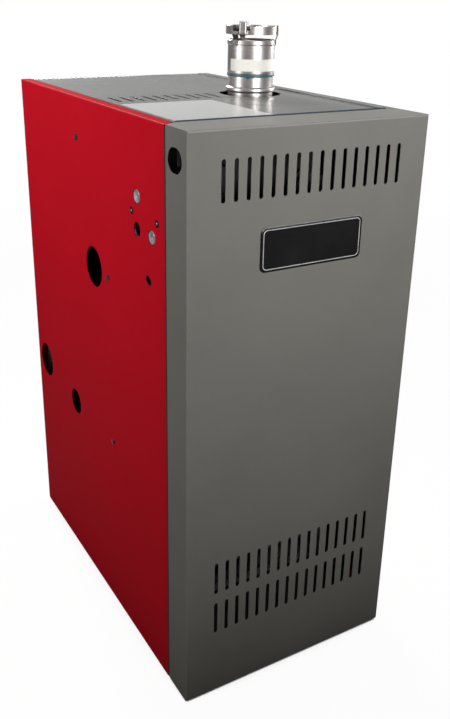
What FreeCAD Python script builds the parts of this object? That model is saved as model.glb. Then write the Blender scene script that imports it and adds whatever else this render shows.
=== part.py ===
import FreeCAD, Part
import math
import os
import re
import Sketcher

# A cast-iron hot water boiler: a sheet-steel jacket with a pull-off front door, four cast sections
# over a gas burner, and a draught inducer that blows into a stainless vent connector on top.
# X is to the right, the door faces -Y and Z is up. The origin is on the floor, under the middle
# of the jacket. All sizes are in millimetres.

SIZES = {
    # jacket
    "jacket_width": 395, "jacket_depth": 667, "jacket_height": 914,
    "sheet_gauge": 1.2, "bend_radius": 3, "seam_gap": 0.6, "lap_gap": 0.3, "door_seam": 3.5,
    "panel_foot": 2, "door_foot": 3, "side_flange": 18, "base_gauge": 1.5, "base_height": 40,
    # front door
    "door_depth": 60, "door_top_depth": 73, "door_notch": 21.5, "door_flange": 15, "flange_stop": 20,
    "slot_count": 16, "slot_pitch": 19.35, "slot_length": 57, "slot_width": 6.3,
    "upper_slot_drop": 66.5, "lower_slot_rise": 150, "slot_row_pitch": 75.5,
    "finger_width": 39.5, "finger_height": 33.5, "finger_setback": 34, "finger_drop": 42,
    "badge_width": 172, "badge_height": 64, "badge_depth": 2.5, "badge_corner": 8, "badge_drop": 167,
    "magnet_width": 12, "magnet_cup_width": 14, "magnet_cup_depth": 5, "magnet_inset": 130,
    # top panel
    "top_slot_count": 10, "top_slot_inset": 44.8, "top_slot_setback": 327, "lip_height": 20,
    "seal_gauge": 2.8, "seal_proud": 1.6, "label_width": 156, "label_depth": 194, "label_inset": 29.5,
    "label_margin": 2, "label_gauge": 0.3,
    # holes in the left side
    "box_setback": 130, "box_drop": 137.5, "box_side": 100, "box_depth": 44, "box_gauge": 1.6,
    "box_corner": 4, "conduit_hole": 22.2, "conduit_spacing": 48.5, "knockout_depth": 0.6,
    "box_screw_spacing": 84.6, "box_screw_hole": 9.5, "box_screw_head": 5.2,
    "service_hole": 10, "service_lead": 5, "service_step": 2.6, "service_setback": 117, "service_drop": 228,
    "pipe_hole": 68, "drain_hole": 48, "screw_hole": 4.2, "screw_head": 9, "screw_rise": 3.5,
    "screw_lead": 61, "low_screw_drop": 15.5, "top_screw_lag": 55, "top_screw_drop": 64.5,
    # heat exchanger
    "vestibule_depth": 183.5, "rod_room": 18, "rear_room": 20, "side_room": 41.5, "upper_room": 224,
    "section_count": 4, "section_joint": 0.6, "section_corner": 26, "section_wall": 7,
    "section_land": 25, "flue_depth": 12, "rib_count": 7, "rib_width": 5, "rib_margin": 30,
    "rib_inset": 22, "rib_gap": 2, "nipple_radius": 24, "nipple_wall": 4, "nipple_length": 26,
    "port_boss": 31, "press_gap": 0.02, "supply_inset": 127.4, "supply_drop": 45,
    "return_inset": 31.7, "return_rise": 56.7, "drain_inset": 195.7, "drain_rise": 35.7,
    "tapping_reach": 14, "tapping_wall": 9, "pipe_tap": 22, "drain_tap": 11.7,
    "tie_rod_radius": 5, "tie_rod_inset": 70, "ear_height": 30, "ear_width": 16, "ear_gap": 2,
    "rod_clearance": 0.4, "rod_end": 14, "nut_height": 8, "nut_radius": 9.2,
    # combustion chamber and burner
    "chamber_height": 265, "chamber_gauge": 2, "chamber_ledge": 18, "lining_depth": 20,
    "pan_return": 14, "opening_width": 260, "opening_rise": 35, "opening_height": 185,
    "plate_gauge": 1.5, "plate_lap": 12, "burner_rise": 95, "burner_radius": 25, "burner_gauge": 1.5,
    "burner_reach": 52, "burner_tail": 60, "burner_clearance": 0.4, "mouth_radius": 24,
    "throat_radius": 14, "throat_length": 18, "venturi_length": 45,
    "flame_port_count": 20, "flame_port_pitch": 14, "flame_port_width": 3, "flame_port_length": 26,
    "flame_port_start": 60, "sight_radius": 18, "sight_depth": 5, "sight_offset": 100,
    "sight_rise": 90, "igniter_rise": 40, "igniter_radius": 7, "igniter_head": 18,
    "igniter_head_depth": 12, "igniter_rod": 2.5, "igniter_reach": 75,
    # gas train
    "manifold_radius": 13.4, "manifold_wall": 2.9, "manifold_gap": 26, "manifold_overhang": 34,
    "orifice_radius": 5.5, "orifice_bore": 1.3, "orifice_reach": 9, "gas_rise": 100,
    "bracket_gauge": 2, "bracket_height": 20,
    "riser_radius": 10.7, "riser_wall": 2.8, "elbow_radius": 24, "valve_offset": 42,
    "valve_length": 84, "valve_depth": 62, "valve_height": 52, "valve_corner": 5,
    "gas_boss": 17, "gas_boss_reach": 10, "gas_tap": 9.13, "gas_tap_depth": 16, "gas_hole": 48,
    "coil_radius": 19, "coil_height": 34, "regulator_radius": 10, "regulator_height": 14,
    "knob_radius": 15, "knob_depth": 13, "knob_grip": 7, "knob_grip_depth": 9, "knob_gap": 0.5,
    "knob_offset": 18, "spindle_radius": 4, "spindle_depth": 12, "running_gap": 0.05,
    # flue collector, inducer and vent
    "collector_height": 58, "collector_edge": 6, "collector_slope": 45, "collector_rake": 70,
    "collector_gauge": 1.5, "scroll_height": 62, "scroll_gauge": 2, "scroll_reach": 99,
    "cutoff_radius": 60, "scroll_growth": 5, "outlet_width": 84, "eye_radius": 33,
    "motor_hole": 16, "wheel_radius": 52, "wheel_eye": 40, "wheel_gap": 5, "wheel_depth": 44,
    "wheel_gauge": 1.5, "blade_count": 24, "blade_gauge": 1.2, "blade_angle": 12, "hub_radius": 9,
    "hub_depth": 18, "shaft_radius": 4, "motor_radius": 42, "motor_height": 62, "motor_foot": 8,
    "motor_slot_count": 12, "motor_slot_width": 6, "motor_slot_height": 26,
    "motor_slot_depth": 9, "motor_corner": 8,
    "vent_offset": 97, "vent_setback": 331, "vent_hole": 104, "vent_wall": 0.8, "stub_radius": 37.85,
    "stub_flange": 41, "bead_rise": 6.5, "bead_height": 9, "bead_depth": 3.6, "stub_lap": 27,
    "adapter_rise": 33, "adapter_length": 53, "adapter_bore": 38.4, "groove_height": 6,
    "groove_drop": 1.2, "groove_depth": 1, "slip_gap": 0.1, "seal_rise": 5.5, "seal_bulge": 0.7,
    "vent_label_rise": 4, "vent_label_height": 19, "vent_label_first_angle": 180, "vent_label_angle": 190,
    "vent_label_gauge": 0.2,
    "band_radius": 42, "band_gauge": 1, "band_height": 13, "band_lift": 8.5, "band_angle": 222,
    "clip_count": 3, "clip_angle": 200, "clip_width": 13, "clip_point": 3, "clip_gauge": 0.8,
    "clip_foot": 9, "clip_gap": 0.2, "housing_width": 13, "housing_depth": 11, "housing_height": 21,
    "worm_radius": 3.4, "worm_length": 24, "worm_head": 5, "worm_head_length": 4.5,
    # controls
    "control_inset": 51, "control_height": 168, "module_width": 92, "module_height": 118,
    "module_depth": 36, "module_inset": 12, "module_rib_count": 6, "module_rib_depth": 2,
    "transformer_width": 58, "transformer_height": 62, "transformer_depth": 46, "core_margin": 11,
    "switch_radius": 30, "switch_depth": 26, "switch_rim": 3, "switch_inset": 38, "barb_radius": 2.8,
    "barb_reach": 10, "tube_radius": 4.2, "tube_hole": 6, "tube_gap": 0.3,
    "limit_offset": 60, "limit_drop": 105, "limit_width": 48, "limit_height": 72, "limit_depth": 42,
    "limit_corner": 5, "well_radius": 8, "button_radius": 5, "button_reach": 5, "button_depth": 8,
    "button_travel": 2.5, "gauge_offset": 70, "gauge_radius": 36, "gauge_depth": 26, "gauge_wall": 2,
    "dial_depth": 15, "dial_gauge": 0.8, "glass_gauge": 2, "needle_length": 25, "needle_width": 6,
    "needle_tail": 9, "needle_rest_angle": 225,
    "needle_gauge": 0.8, "needle_gap": 2, "pivot_radius": 2, "pivot_depth": 4,
}

doc = FreeCAD.newDocument("Boiler")
dims = doc.addObject("Spreadsheet::Sheet", "dims")
for row, (word, number) in enumerate(SIZES.items(), start=1):
    dims.set(f"A{row}", word)
    dims.set(f"B{row}", str(number))
    dims.setAlias(f"B{row}", word)
doc.recompute()

WORD = re.compile(r"[a-z][a-z0-9_]*")
TOUCH = 0.01
PLAN, FACE, SIDE = "XY_Plane", "XZ_Plane", "YZ_Plane"
nodes = []


def tied(text):
    """An expression in the sheet's words, each word pointed at its cell."""
    return WORD.sub(lambda found: f"dims.{found[0]}" if found[0] in SIZES else found[0], text)


def size(text):
    """The value that such an expression has now."""
    return float(dims.evalExpression(tied(text)))


def node(piece, label):
    """A finished sub-part under the name that its file takes."""
    piece.Label = label
    nodes.append(piece)
    return piece


def place(piece, x, y, z, turn=0):
    """Put a piece at a point, turned about the vertical by an angle in degrees."""
    piece.Placement = FreeCAD.Placement(FreeCAD.Vector(), FreeCAD.Rotation(turn, 0, 0))
    for axis, text in zip("xyz", (x, y, z)):
        piece.setExpression(f"Placement.Base.{axis}", tied(text))


def sketch(body, role, level="0"):
    """A sketch on one of the body's origin planes, moved to a level along that plane's own axis."""
    drawing = body.newObject("Sketcher::SketchObject", body.Name + "_sketch")
    support = [item for item in body.Origin.OriginFeatures if item.Role == role]
    drawing.AttachmentSupport = [(support[0], "")]
    drawing.MapMode = "FlatFace"
    sign = "-" if role == FACE else ""
    drawing.setExpression("AttachmentOffset.Base.z", tied(f"{sign}({level})"))
    return drawing


def pin(drawing, shape, point, x, y):
    """Hold a point of a sketch at its distances from the sketch's origin."""
    for kind, text in (("DistanceX", x), ("DistanceY", y)):
        rule = Sketcher.Constraint(kind, -1, 1, shape, point, size(text))
        drawing.setExpression(f"Constraints[{drawing.addConstraint(rule)}]", tied(text))


def polygon(drawing, points):
    """A closed outline of straight lines through points given as pairs of expressions."""
    corners = [FreeCAD.Vector(size(x), size(y), 0) for x, y in points]
    lines = [Part.LineSegment(start, end) for start, end in zip(corners, corners[1:] + corners[:1])]
    shapes = drawing.addGeometry(lines, False)
    for shape, following in zip(shapes, shapes[1:] + shapes[:1]):
        drawing.addConstraint(Sketcher.Constraint("Coincident", shape, 2, following, 1))
    for shape, (x, y) in zip(shapes, points):
        pin(drawing, shape, 1, x, y)


def rectangle(drawing, left, right, low, high):
    polygon(drawing, [(left, low), (right, low), (right, high), (left, high)])


def circle(drawing, x, y, radius):
    centre = FreeCAD.Vector(size(x), size(y), 0)
    shape = drawing.addGeometry(Part.Circle(centre, FreeCAD.Vector(0, 0, 1), size(radius)), False)
    pin(drawing, shape, 3, x, y)
    rule = drawing.addConstraint(Sketcher.Constraint("Radius", shape, size(radius)))
    drawing.setExpression(f"Constraints[{rule}]", tied(radius))


def slot(drawing, x, y, length, width, level=False):
    """A slot with round ends, upright or level: two half circles joined by tangent lines."""
    radius, reach = f"({width}) / 2", f"(({length}) - ({width})) / 2"
    upright = [(x, f"{y} + {reach}"), (x, f"{y} - {reach}")]
    ends = [(f"{x} - {reach}", y), (f"{x} + {reach}", y)] if level else upright
    normal, half = FreeCAD.Vector(0, 0, 1), size(radius)
    lean = math.pi / 2 if level else 0
    one, two = (FreeCAD.Vector(size(across), size(along), 0) for across, along in ends)
    out = FreeCAD.Vector(half * math.cos(lean), half * math.sin(lean), 0)
    shapes = drawing.addGeometry([
        Part.ArcOfCircle(Part.Circle(one, normal, half), lean, lean + math.pi),
        Part.LineSegment(one - out, two - out),
        Part.ArcOfCircle(Part.Circle(two, normal, half), lean + math.pi, lean + 2 * math.pi),
        Part.LineSegment(two + out, one + out)], False)
    for shape, following in zip(shapes, shapes[1:] + shapes[:1]):
        drawing.addConstraint(Sketcher.Constraint("Tangent", shape, 2, following, 1))
    drawing.addConstraint(Sketcher.Constraint("Equal", shapes[0], shapes[2]))
    pin(drawing, shapes[0], 3, *ends[0])
    pin(drawing, shapes[2], 3, *ends[1])
    rule = drawing.addConstraint(Sketcher.Constraint("Radius", shapes[0], half))
    drawing.setExpression(f"Constraints[{rule}]", tied(radius))


def feature(body, kind, **settings):
    """Add a PartDesign feature as the body's new tip and work it out."""
    item = body.newObject(f"PartDesign::{kind}", f"{body.Name}_{kind.lower()}")
    for name, value in settings.items():
        setattr(item, name, value)
    body.Tip = item
    return item


def pad(body, drawing, length, flip=False, both=False):
    item = feature(body, "Pad", Profile=drawing, Reversed=flip)
    item.SideType = "Symmetric" if both else "One side"
    item.setExpression("Length", tied(length))
    doc.recompute()
    return item


def pocket(body, drawing, length=None, flip=False, both=False):
    """Cut a sketch into the body, right through both ways where no length is given."""
    before = body.Tip.Shape.Volume
    item = feature(body, "Pocket", Profile=drawing, Reversed=flip)
    if length is None:
        item.Type = "ThroughAll"
        item.SideType = "Symmetric"
    else:
        item.SideType = "Symmetric" if both else "One side"
        item.setExpression("Length", tied(length))
    doc.recompute()
    if item.Shape.Volume > before - TOUCH:
        raise ValueError(f"{item.Name} cuts nothing")
    return item


def revolve(body, drawing):
    item = feature(body, "Revolution", Profile=drawing, ReferenceAxis=(drawing, ["V_Axis"]), Angle=360)
    doc.recompute()
    return item


def row_of(body, original, drawing, axis, count, pitch):
    item = feature(body, "LinearPattern", Originals=[original], Direction=(drawing, [axis]))
    item.setExpression("Occurrences", tied(count))
    item.setExpression("Length", tied(f"({count} - 1) * ({pitch})"))
    doc.recompute()
    return item


def ring_of(body, original, drawing, count):
    item = feature(body, "PolarPattern", Originals=[original], Axis=(drawing, ["N_Axis"]), Angle=360)
    item.setExpression("Occurrences", tied(count))
    doc.recompute()
    return item


def lying_in(body, kind, axis, level):
    """Names of the tip's edges or faces that lie in the plane at that level of that axis."""
    value, names = size(level), []
    for number, item in enumerate(getattr(body.Tip.Shape, kind + "s"), start=1):
        ends = [getattr(item.BoundBox, axis + end) for end in ("Min", "Max")]
        if max(abs(end - value) for end in ends) < TOUCH:
            names.append(f"{kind}{number}")
    return names


def running_along(body, axis):
    """Names of the tip's straight edges that run along an axis."""
    names = []
    for number, edge in enumerate(body.Tip.Shape.Edges, start=1):
        spans = {name: getattr(edge.BoundBox, name + "Length") for name in "XYZ"}
        long_span = spans.pop(axis)
        if long_span > TOUCH and max(spans.values()) < TOUCH:
            names.append(f"Edge{number}")
    return names


def fillet(body, edges, radius):
    item = feature(body, "Fillet", Base=(body.Tip, edges))
    item.setExpression("Radius", tied(radius))
    doc.recompute()
    return item


def shell(body, open_faces, gauge):
    """Hollow the body to a wall of that gauge, measured inwards, with some faces left open."""
    item = feature(body, "Thickness", Base=(body.Tip, open_faces), Reversed=True, Join=0)
    item.setExpression("Value", tied(gauge))
    doc.recompute()
    return item


def body_named(label):
    return node(doc.addObject("PartDesign::Body", label), label)


def block(label, x, y, z):
    """A box between a low and a high expression on each axis."""
    piece = doc.addObject("Part::Box", label)
    for side, axis, (low, high) in zip(("Length", "Width", "Height"), "xyz", (x, y, z)):
        piece.setExpression(side, tied(f"({high}) - ({low})"))
        piece.setExpression(f"Placement.Base.{axis}", tied(low))
    return piece


TURNS = {
    "x": FreeCAD.Rotation(FreeCAD.Vector(0, 1, 0), 90),
    "y": FreeCAD.Rotation(FreeCAD.Vector(1, 0, 0), -90),
    "z": FreeCAD.Rotation(),
}


def rod(label, axis, start, end, across, radius):
    """A cylinder along an axis, with its centre given on the two other axes in the order x, y, z."""
    piece = doc.addObject("Part::Cylinder", label)
    piece.setExpression("Radius", tied(radius))
    piece.setExpression("Height", tied(f"({end}) - ({start})"))
    piece.Placement = FreeCAD.Placement(FreeCAD.Vector(), TURNS[axis])
    rest = list(across)
    for name in "xyz":
        text = start if name == axis else rest.pop(0)
        piece.setExpression(f"Placement.Base.{name}", tied(text))
    return piece


def hexagon(label, axis, start, end, across, radius):
    """A six-sided prism along an axis, placed as a rod is."""
    piece = doc.addObject("Part::Prism", label)
    piece.Polygon = 6
    piece.setExpression("Circumradius", tied(radius))
    piece.setExpression("Height", tied(f"({end}) - ({start})"))
    piece.Placement = FreeCAD.Placement(FreeCAD.Vector(), TURNS[axis])
    rest = list(across)
    for name in "xyz":
        text = start if name == axis else rest.pop(0)
        piece.setExpression(f"Placement.Base.{name}", tied(text))
    return piece


def join(label, pieces):
    piece = doc.addObject("Part::MultiFuse", label)
    piece.Shapes = pieces
    return piece


def cut(label, base, tools):
    """Take one or more tool shapes away from a base shape."""
    piece = doc.addObject("Part::Cut", label)
    piece.Base = base
    piece.Tool = tools[0] if len(tools) == 1 else join(label + "_tools", tools)
    return piece


def tube(label, axis, start, end, across, radius, wall):
    """A plain pipe: one rod with a smaller one taken out of it."""
    outer = rod(label + "_outside", axis, start, end, across, radius)
    inner = rod(label + "_bore", axis, start, end, across, f"{radius} - {wall}")
    return cut(label, outer, [inner])


# Places that several pieces share, as expressions in the sheet's words
LEFT, RIGHT = "(-jacket_width / 2)", "(jacket_width / 2)"
FRONT, BACK = "(-jacket_depth / 2)", "(jacket_depth / 2)"
TOP = "jacket_height"
DOOR_BACK = f"({FRONT} + door_depth)"
DOOR_TOP_BACK = f"({FRONT} + door_top_depth)"
PANEL_FRONT = f"({DOOR_BACK} + door_seam)"
PANEL_BACK = f"({BACK} - sheet_gauge - lap_gap)"
DECK = f"({TOP} - sheet_gauge - lap_gap)"
DECK_FRONT = f"({DOOR_TOP_BACK} + seam_gap + seal_gauge)"
INNER_LEFT, INNER_RIGHT = f"({LEFT} + sheet_gauge + lap_gap)", f"({RIGHT} - sheet_gauge - lap_gap)"
BOX_Y, BOX_Z = f"({FRONT} + box_setback)", f"({TOP} - box_drop)"
VEST = f"({FRONT} + vestibule_depth)"
SECTION_FRONT = f"({VEST} + sheet_gauge + rod_room)"
SECTION_BACK = f"({BACK} - rear_room)"
SECTION_FOOT = "(base_height + chamber_height)"
SECTION_TOP = f"({TOP} - upper_room)"
STACK_LEFT, STACK_RIGHT = f"({LEFT} + side_room)", f"({RIGHT} - side_room)"
PITCH = "((jacket_width - 2 * side_room) / section_count)"
SUPPLY = (f"({SECTION_FRONT} + supply_inset)", f"({SECTION_TOP} - supply_drop)")
RETURN = (f"({SECTION_BACK} - return_inset)", f"({SECTION_FOOT} + return_rise)")
DRAIN = (f"({SECTION_BACK} - drain_inset)", f"({SECTION_FOOT} + drain_rise)")
BURNER_Z = "(base_height + burner_rise)"
BURNER_FRONT = f"({VEST} - burner_reach)"
PLATE_FRONT = f"({VEST} - plate_gauge)"
GAS_Y, GAS_Z = f"({BURNER_FRONT} - manifold_gap)", f"({BURNER_Z} + gas_rise)"
VALVE_LEFT = "(valve_offset - valve_length / 2)"
VALVE_RIGHT = "(valve_offset + valve_length / 2)"
VALVE_FRONT = f"({GAS_Y} - valve_depth / 2)"
COLLECTOR_TOP = f"({SECTION_TOP} + collector_height)"
SCROLL_TOP = f"({COLLECTOR_TOP} + scroll_height)"
VENT_X, VENT_Y = "vent_offset", f"({FRONT} + vent_setback)"
SCROLL_DROP = "(cutoff_radius + 3 * scroll_growth)"
WHEEL_X = f"({VENT_X} - scroll_reach)"
WHEEL_Y = f"({VENT_Y} - outlet_width / 2 + {SCROLL_DROP})"
ADAPTER_FOOT = f"({TOP} + adapter_rise)"
ADAPTER_TOP = f"({ADAPTER_FOOT} + adapter_length)"
BAND_FOOT = f"({ADAPTER_TOP} + band_lift)"
WORM_Z = "(band_height * 0.8)"
LIMIT_Z = f"({SECTION_TOP} - limit_drop)"
SWITCH_X = f"({RIGHT} - control_inset - switch_inset)"
SWITCH_Z = f"({COLLECTOR_TOP} + scroll_height / 2)"


def front_door():
    """A folded pan with mitred top corners, inner flanges, three rows of slots and finger holes."""
    door = body_named("front_door")
    outline = sketch(door, FACE, FRONT)
    rectangle(outline, LEFT, RIGHT, "door_foot", TOP)
    pad(door, outline, "door_top_depth", flip=True)
    fillet(door, lying_in(door, "Edge", "Y", FRONT), "bend_radius")
    shell(door, lying_in(door, "Face", "Y", DOOR_TOP_BACK), "sheet_gauge")
    for side, sign in ((LEFT, "-"), (RIGHT, "+")):
        mitre = sketch(door, PLAN)
        inner, outer = f"{side} - ({sign}door_notch)", f"{side} + ({sign}door_notch)"
        beyond = f"{DOOR_TOP_BACK} + door_notch"
        polygon(mitre, [(side, DOOR_BACK), (inner, DOOR_TOP_BACK), (inner, beyond),
                        (outer, beyond), (outer, DOOR_BACK)])
        pocket(door, mitre)
    foot = sketch(door, SIDE)
    rectangle(foot, DOOR_BACK, f"{DOOR_TOP_BACK} + sheet_gauge", "0", "door_foot + bend_radius")
    pocket(door, foot)
    for side, sign in ((LEFT, "+"), (RIGHT, "-")):
        flange = sketch(door, FACE, f"{DOOR_BACK} - sheet_gauge")
        ends = [f"{side} + ({sign}sheet_gauge / 2)", f"{side} + ({sign}door_flange)"]
        rectangle(flange, *ends, "door_foot + flange_stop", f"{TOP} - flange_stop")
        pad(door, flange, "sheet_gauge", flip=True)
    first = "-slot_pitch * (slot_count - 1) / 2"
    rows = [f"{TOP} - upper_slot_drop", "lower_slot_rise", "lower_slot_rise + slot_row_pitch"]
    for height in rows:
        drawing = sketch(door, FACE)
        slot(drawing, first, height, "slot_length", "slot_width")
        row_of(door, pocket(door, drawing), drawing, "H_Axis", "slot_count", "slot_pitch")
    fingers = sketch(door, SIDE)
    slot(fingers, f"{FRONT} + finger_setback", f"{TOP} - finger_drop", "finger_width", "finger_height",
         level=True)
    pocket(door, fingers)


def badge_plate():
    """A moulded plate with round corners, stuck on the door."""
    badge = body_named("badge_plate")
    outline = sketch(badge, FACE, FRONT)
    middle = f"({TOP} - badge_drop)"
    rectangle(outline, "-badge_width / 2", "badge_width / 2",
              f"{middle} - badge_height / 2", f"{middle} + badge_height / 2")
    pad(badge, outline, "badge_depth")
    fillet(badge, running_along(badge, "Y"), "badge_corner")
    fillet(badge, lying_in(badge, "Edge", "Y", f"{FRONT} - badge_depth"), "badge_depth / 3")


def magnet_places():
    """The x and z of the four door magnets, in the front flanges of the side panels."""
    middle = "(side_flange / 2 + sheet_gauge)"
    heights = ("panel_foot + magnet_inset", f"{TOP} - magnet_inset")
    return [(x, z) for x in (f"{LEFT} + {middle}", f"{RIGHT} - {middle}") for z in heights]


def door_magnets():
    """Cup magnets pressed through the flanges, proud of them as far as the door's seam is wide."""
    pieces = []
    for number, spot in enumerate(magnet_places(), start=1):
        behind = f"{PANEL_FRONT} + sheet_gauge"
        face = rod(f"magnet_{number}", "y", f"{DOOR_BACK} + lap_gap", behind, spot, "magnet_width / 2")
        cup = rod(f"magnet_cup_{number}", "y", behind, f"{behind} + magnet_cup_depth", spot,
                  "magnet_cup_width / 2")
        pieces.append(join(f"magnet_{number}_whole", [face, cup]))
    node(join("door_magnets", pieces), "door_magnets")


def screw_places():
    """The y and z of the small screws in each side panel."""
    return [(f"{SUPPLY[0]} - screw_lead", SUPPLY[1]),
            (f"{SUPPLY[0]} - screw_lead", f"{RETURN[1]} - low_screw_drop"),
            (f"{SUPPLY[0]} + top_screw_lag", f"{TOP} - top_screw_drop")]


def side_panel(label, left):
    """A folded side of the jacket with returns at the front, rear and top."""
    panel = body_named(label)
    wall = LEFT if left else RIGHT
    head = TOP if left else DECK
    inner = f"{LEFT} + side_flange" if left else f"{RIGHT} - side_flange"
    outline = sketch(panel, SIDE, wall)
    rectangle(outline, PANEL_FRONT, PANEL_BACK, "panel_foot", head)
    pad(panel, outline, "side_flange", flip=not left)
    fillet(panel, [name for name in lying_in(panel, "Edge", "X", wall)
                   if name not in lying_in(panel, "Edge", "Z", "panel_foot")], "bend_radius")
    shell(panel, lying_in(panel, "Face", "X", inner) + lying_in(panel, "Face", "Z", "panel_foot"),
          "sheet_gauge")
    if left:
        mitre = sketch(panel, PLAN, f"{DECK} - lap_gap")
        gap = "door_seam"
        polygon(mitre, [(f"{wall} - door_notch", f"{DOOR_BACK} + {gap} - door_notch"),
                        (f"{wall} - door_notch", f"{DOOR_BACK} + {gap}"),
                        (wall, f"{DOOR_BACK} + {gap}"),
                        (f"{wall} + door_notch", f"{DOOR_TOP_BACK} + {gap}"),
                        (f"{wall} + door_notch", f"{DOOR_BACK} + {gap} - door_notch")])
        pocket(panel, mitre, "door_notch", flip=True)
    magnets = sketch(panel, FACE, PANEL_FRONT)
    for x, z in magnet_places():
        if (size(x) < 0) == left:
            circle(magnets, x, z, "magnet_width / 2 + lap_gap / 2")
    pocket(panel, magnets, "2 * sheet_gauge", both=True)
    holes = sketch(panel, SIDE)
    for y, z in screw_places():
        circle(holes, y, z, "screw_hole / 2")
    if left:
        for y, z in conduit_places():
            circle(holes, y, z, "conduit_hole / 2")
        for sign in "+-":
            circle(holes, f"{BOX_Y} {sign} box_screw_spacing / 2", BOX_Z, "box_screw_hole / 2")
        for spot, width in ((SUPPLY, "pipe_hole"), (RETURN, "pipe_hole"), (DRAIN, "drain_hole")):
            circle(holes, *spot, f"{width} / 2")
    else:
        circle(holes, GAS_Y, GAS_Z, "gas_hole / 2")
    pocket(panel, holes)
    if left:
        for sign in "+-":
            double = sketch(panel, SIDE)
            circle(double, f"{FRONT} + service_setback {sign} service_lead / 2",
                   f"{TOP} - service_drop {sign} service_step / 2", "service_hole / 2")
            pocket(panel, double)


def conduit_places():
    """The three conduit holes of the junction box: two stacked, and one in front of the lower."""
    near, far = f"{BOX_Y} - conduit_spacing / 2", f"{BOX_Y} + conduit_spacing / 2"
    low, high = f"{BOX_Z} - conduit_spacing / 2", f"{BOX_Z} + conduit_spacing / 2"
    return [(far, low), (far, high), (near, low)]


def top_panel():
    """A sheet that tucks under the left flange and is joggled up to lap over the right one."""
    panel = body_named("top_panel")
    riser = f"({RIGHT} - side_flange - seam_gap)"
    start = f"{LEFT} + bend_radius + seam_gap"
    section = sketch(panel, FACE, DECK_FRONT)
    polygon(section, [(start, f"{DECK} - sheet_gauge"), (riser, f"{DECK} - sheet_gauge"),
                      (riser, f"{TOP} - sheet_gauge"), (RIGHT, f"{TOP} - sheet_gauge"), (RIGHT, TOP),
                      (f"{riser} - sheet_gauge", TOP), (f"{riser} - sheet_gauge", DECK), (start, DECK)])
    pad(panel, section, f"{PANEL_BACK} - {DECK_FRONT}", flip=True)
    corner = sketch(panel, PLAN, f"{TOP} - sheet_gauge")
    slope = "(door_top_depth - door_depth) / door_notch"
    polygon(corner, [(riser, DECK_FRONT), (riser, f"{PANEL_FRONT} + ({RIGHT} - {riser}) * {slope}"),
                     (RIGHT, PANEL_FRONT), (RIGHT, DECK_FRONT)])
    pad(panel, corner, "sheet_gauge")
    ends = (f"{LEFT} + side_flange + seam_gap", f"{riser} - 2 * sheet_gauge")
    for level in (DECK_FRONT, f"{PANEL_BACK} - sheet_gauge"):
        lip = sketch(panel, FACE, level)
        rectangle(lip, *ends, f"{DECK} - lip_height", f"{DECK} - sheet_gauge / 2")
        pad(panel, lip, "sheet_gauge", flip=True)
    notch = sketch(panel, PLAN)
    rectangle(notch, LEFT, f"{LEFT} + side_flange + seam_gap / 2",
              f"{PANEL_BACK} - bend_radius - seam_gap", f"{PANEL_BACK} + seam_gap")
    pocket(panel, notch)
    drawing = sketch(panel, PLAN)
    slot(drawing, f"{LEFT} + top_slot_inset", f"{FRONT} + top_slot_setback", "slot_length", "slot_width")
    row_of(panel, pocket(panel, drawing), drawing, "H_Axis", "top_slot_count", "slot_pitch")
    vent = sketch(panel, PLAN)
    circle(vent, VENT_X, VENT_Y, "vent_hole / 2")
    pocket(panel, vent)


def small_jacket_pieces():
    """The strip that seals the door's top edge, the bare label on the deck and the plain rear sheet."""
    strip = body_named("door_seal")
    begin, end = f"({LEFT} + door_notch)", f"({RIGHT} - side_flange - 2 * seam_gap)"
    profile = sketch(strip, SIDE, begin)
    rectangle(profile, f"{DOOR_TOP_BACK} + seam_gap / 2", DECK_FRONT,
              f"{DECK} - lip_height", f"{TOP} + seal_proud")
    pad(strip, profile, f"{end} - {begin}")
    fillet(strip, lying_in(strip, "Edge", "Z", f"{TOP} + seal_proud"), "seal_gauge / 3")
    corner = (f"({LEFT} + label_inset)", f"({DECK_FRONT} + label_margin)")
    label = block("rating_label", (corner[0], f"{corner[0]} + label_width"),
                  (corner[1], f"{corner[1]} + label_depth"), (DECK, f"{DECK} + label_gauge"))
    node(label, "rating_label")
    rear = body_named("rear_panel")
    outline = sketch(rear, FACE, f"{BACK} - sheet_gauge")
    rectangle(outline, f"{LEFT} + seam_gap", f"{RIGHT} - seam_gap", "panel_foot", f"{TOP} - seam_gap")
    pad(rear, outline, "sheet_gauge", flip=True)
    holes = sketch(rear, FACE)
    for x, z in rear_screw_places():
        circle(holes, x, z, "screw_hole / 2")
    pocket(rear, holes)


def rear_screw_places():
    heights = ("base_height / 2", f"{TOP} / 2", f"{TOP} - lip_height / 2 - 2 * bend_radius")
    return [(f"{sign}({RIGHT} - side_flange / 2)", z) for sign in ("", "-") for z in heights]


def base_pan():
    """An upside-down tray: its deck carries the chamber and its skirt stands on the floor."""
    base = body_named("base_pan")
    outline = sketch(base, PLAN)
    rectangle(outline, INNER_LEFT, INNER_RIGHT, DECK_FRONT, f"{PANEL_BACK} - bend_radius - lap_gap")
    pad(base, outline, "base_height")
    shell(base, lying_in(base, "Face", "Z", "0"), "base_gauge")


def vestibule_panel():
    """A pan, open to the front, that closes the burner and the sections off from the door."""
    panel = body_named("vestibule_panel")
    outline = sketch(panel, FACE, f"{VEST} + sheet_gauge")
    rectangle(outline, INNER_LEFT, INNER_RIGHT, "base_height", SECTION_TOP)
    pad(panel, outline, "pan_return")
    shell(panel, lying_in(panel, "Face", "Y", f"{VEST} + sheet_gauge - pan_return"), "sheet_gauge")
    opening = sketch(panel, FACE)
    low = "base_height + opening_rise"
    rectangle(opening, "-opening_width / 2", "opening_width / 2", low, f"{low} + opening_height")
    for x in ("limit_offset", "-gauge_offset"):
        circle(opening, x, LIMIT_Z, "well_radius + rod_clearance")
    pocket(panel, opening)


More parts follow.
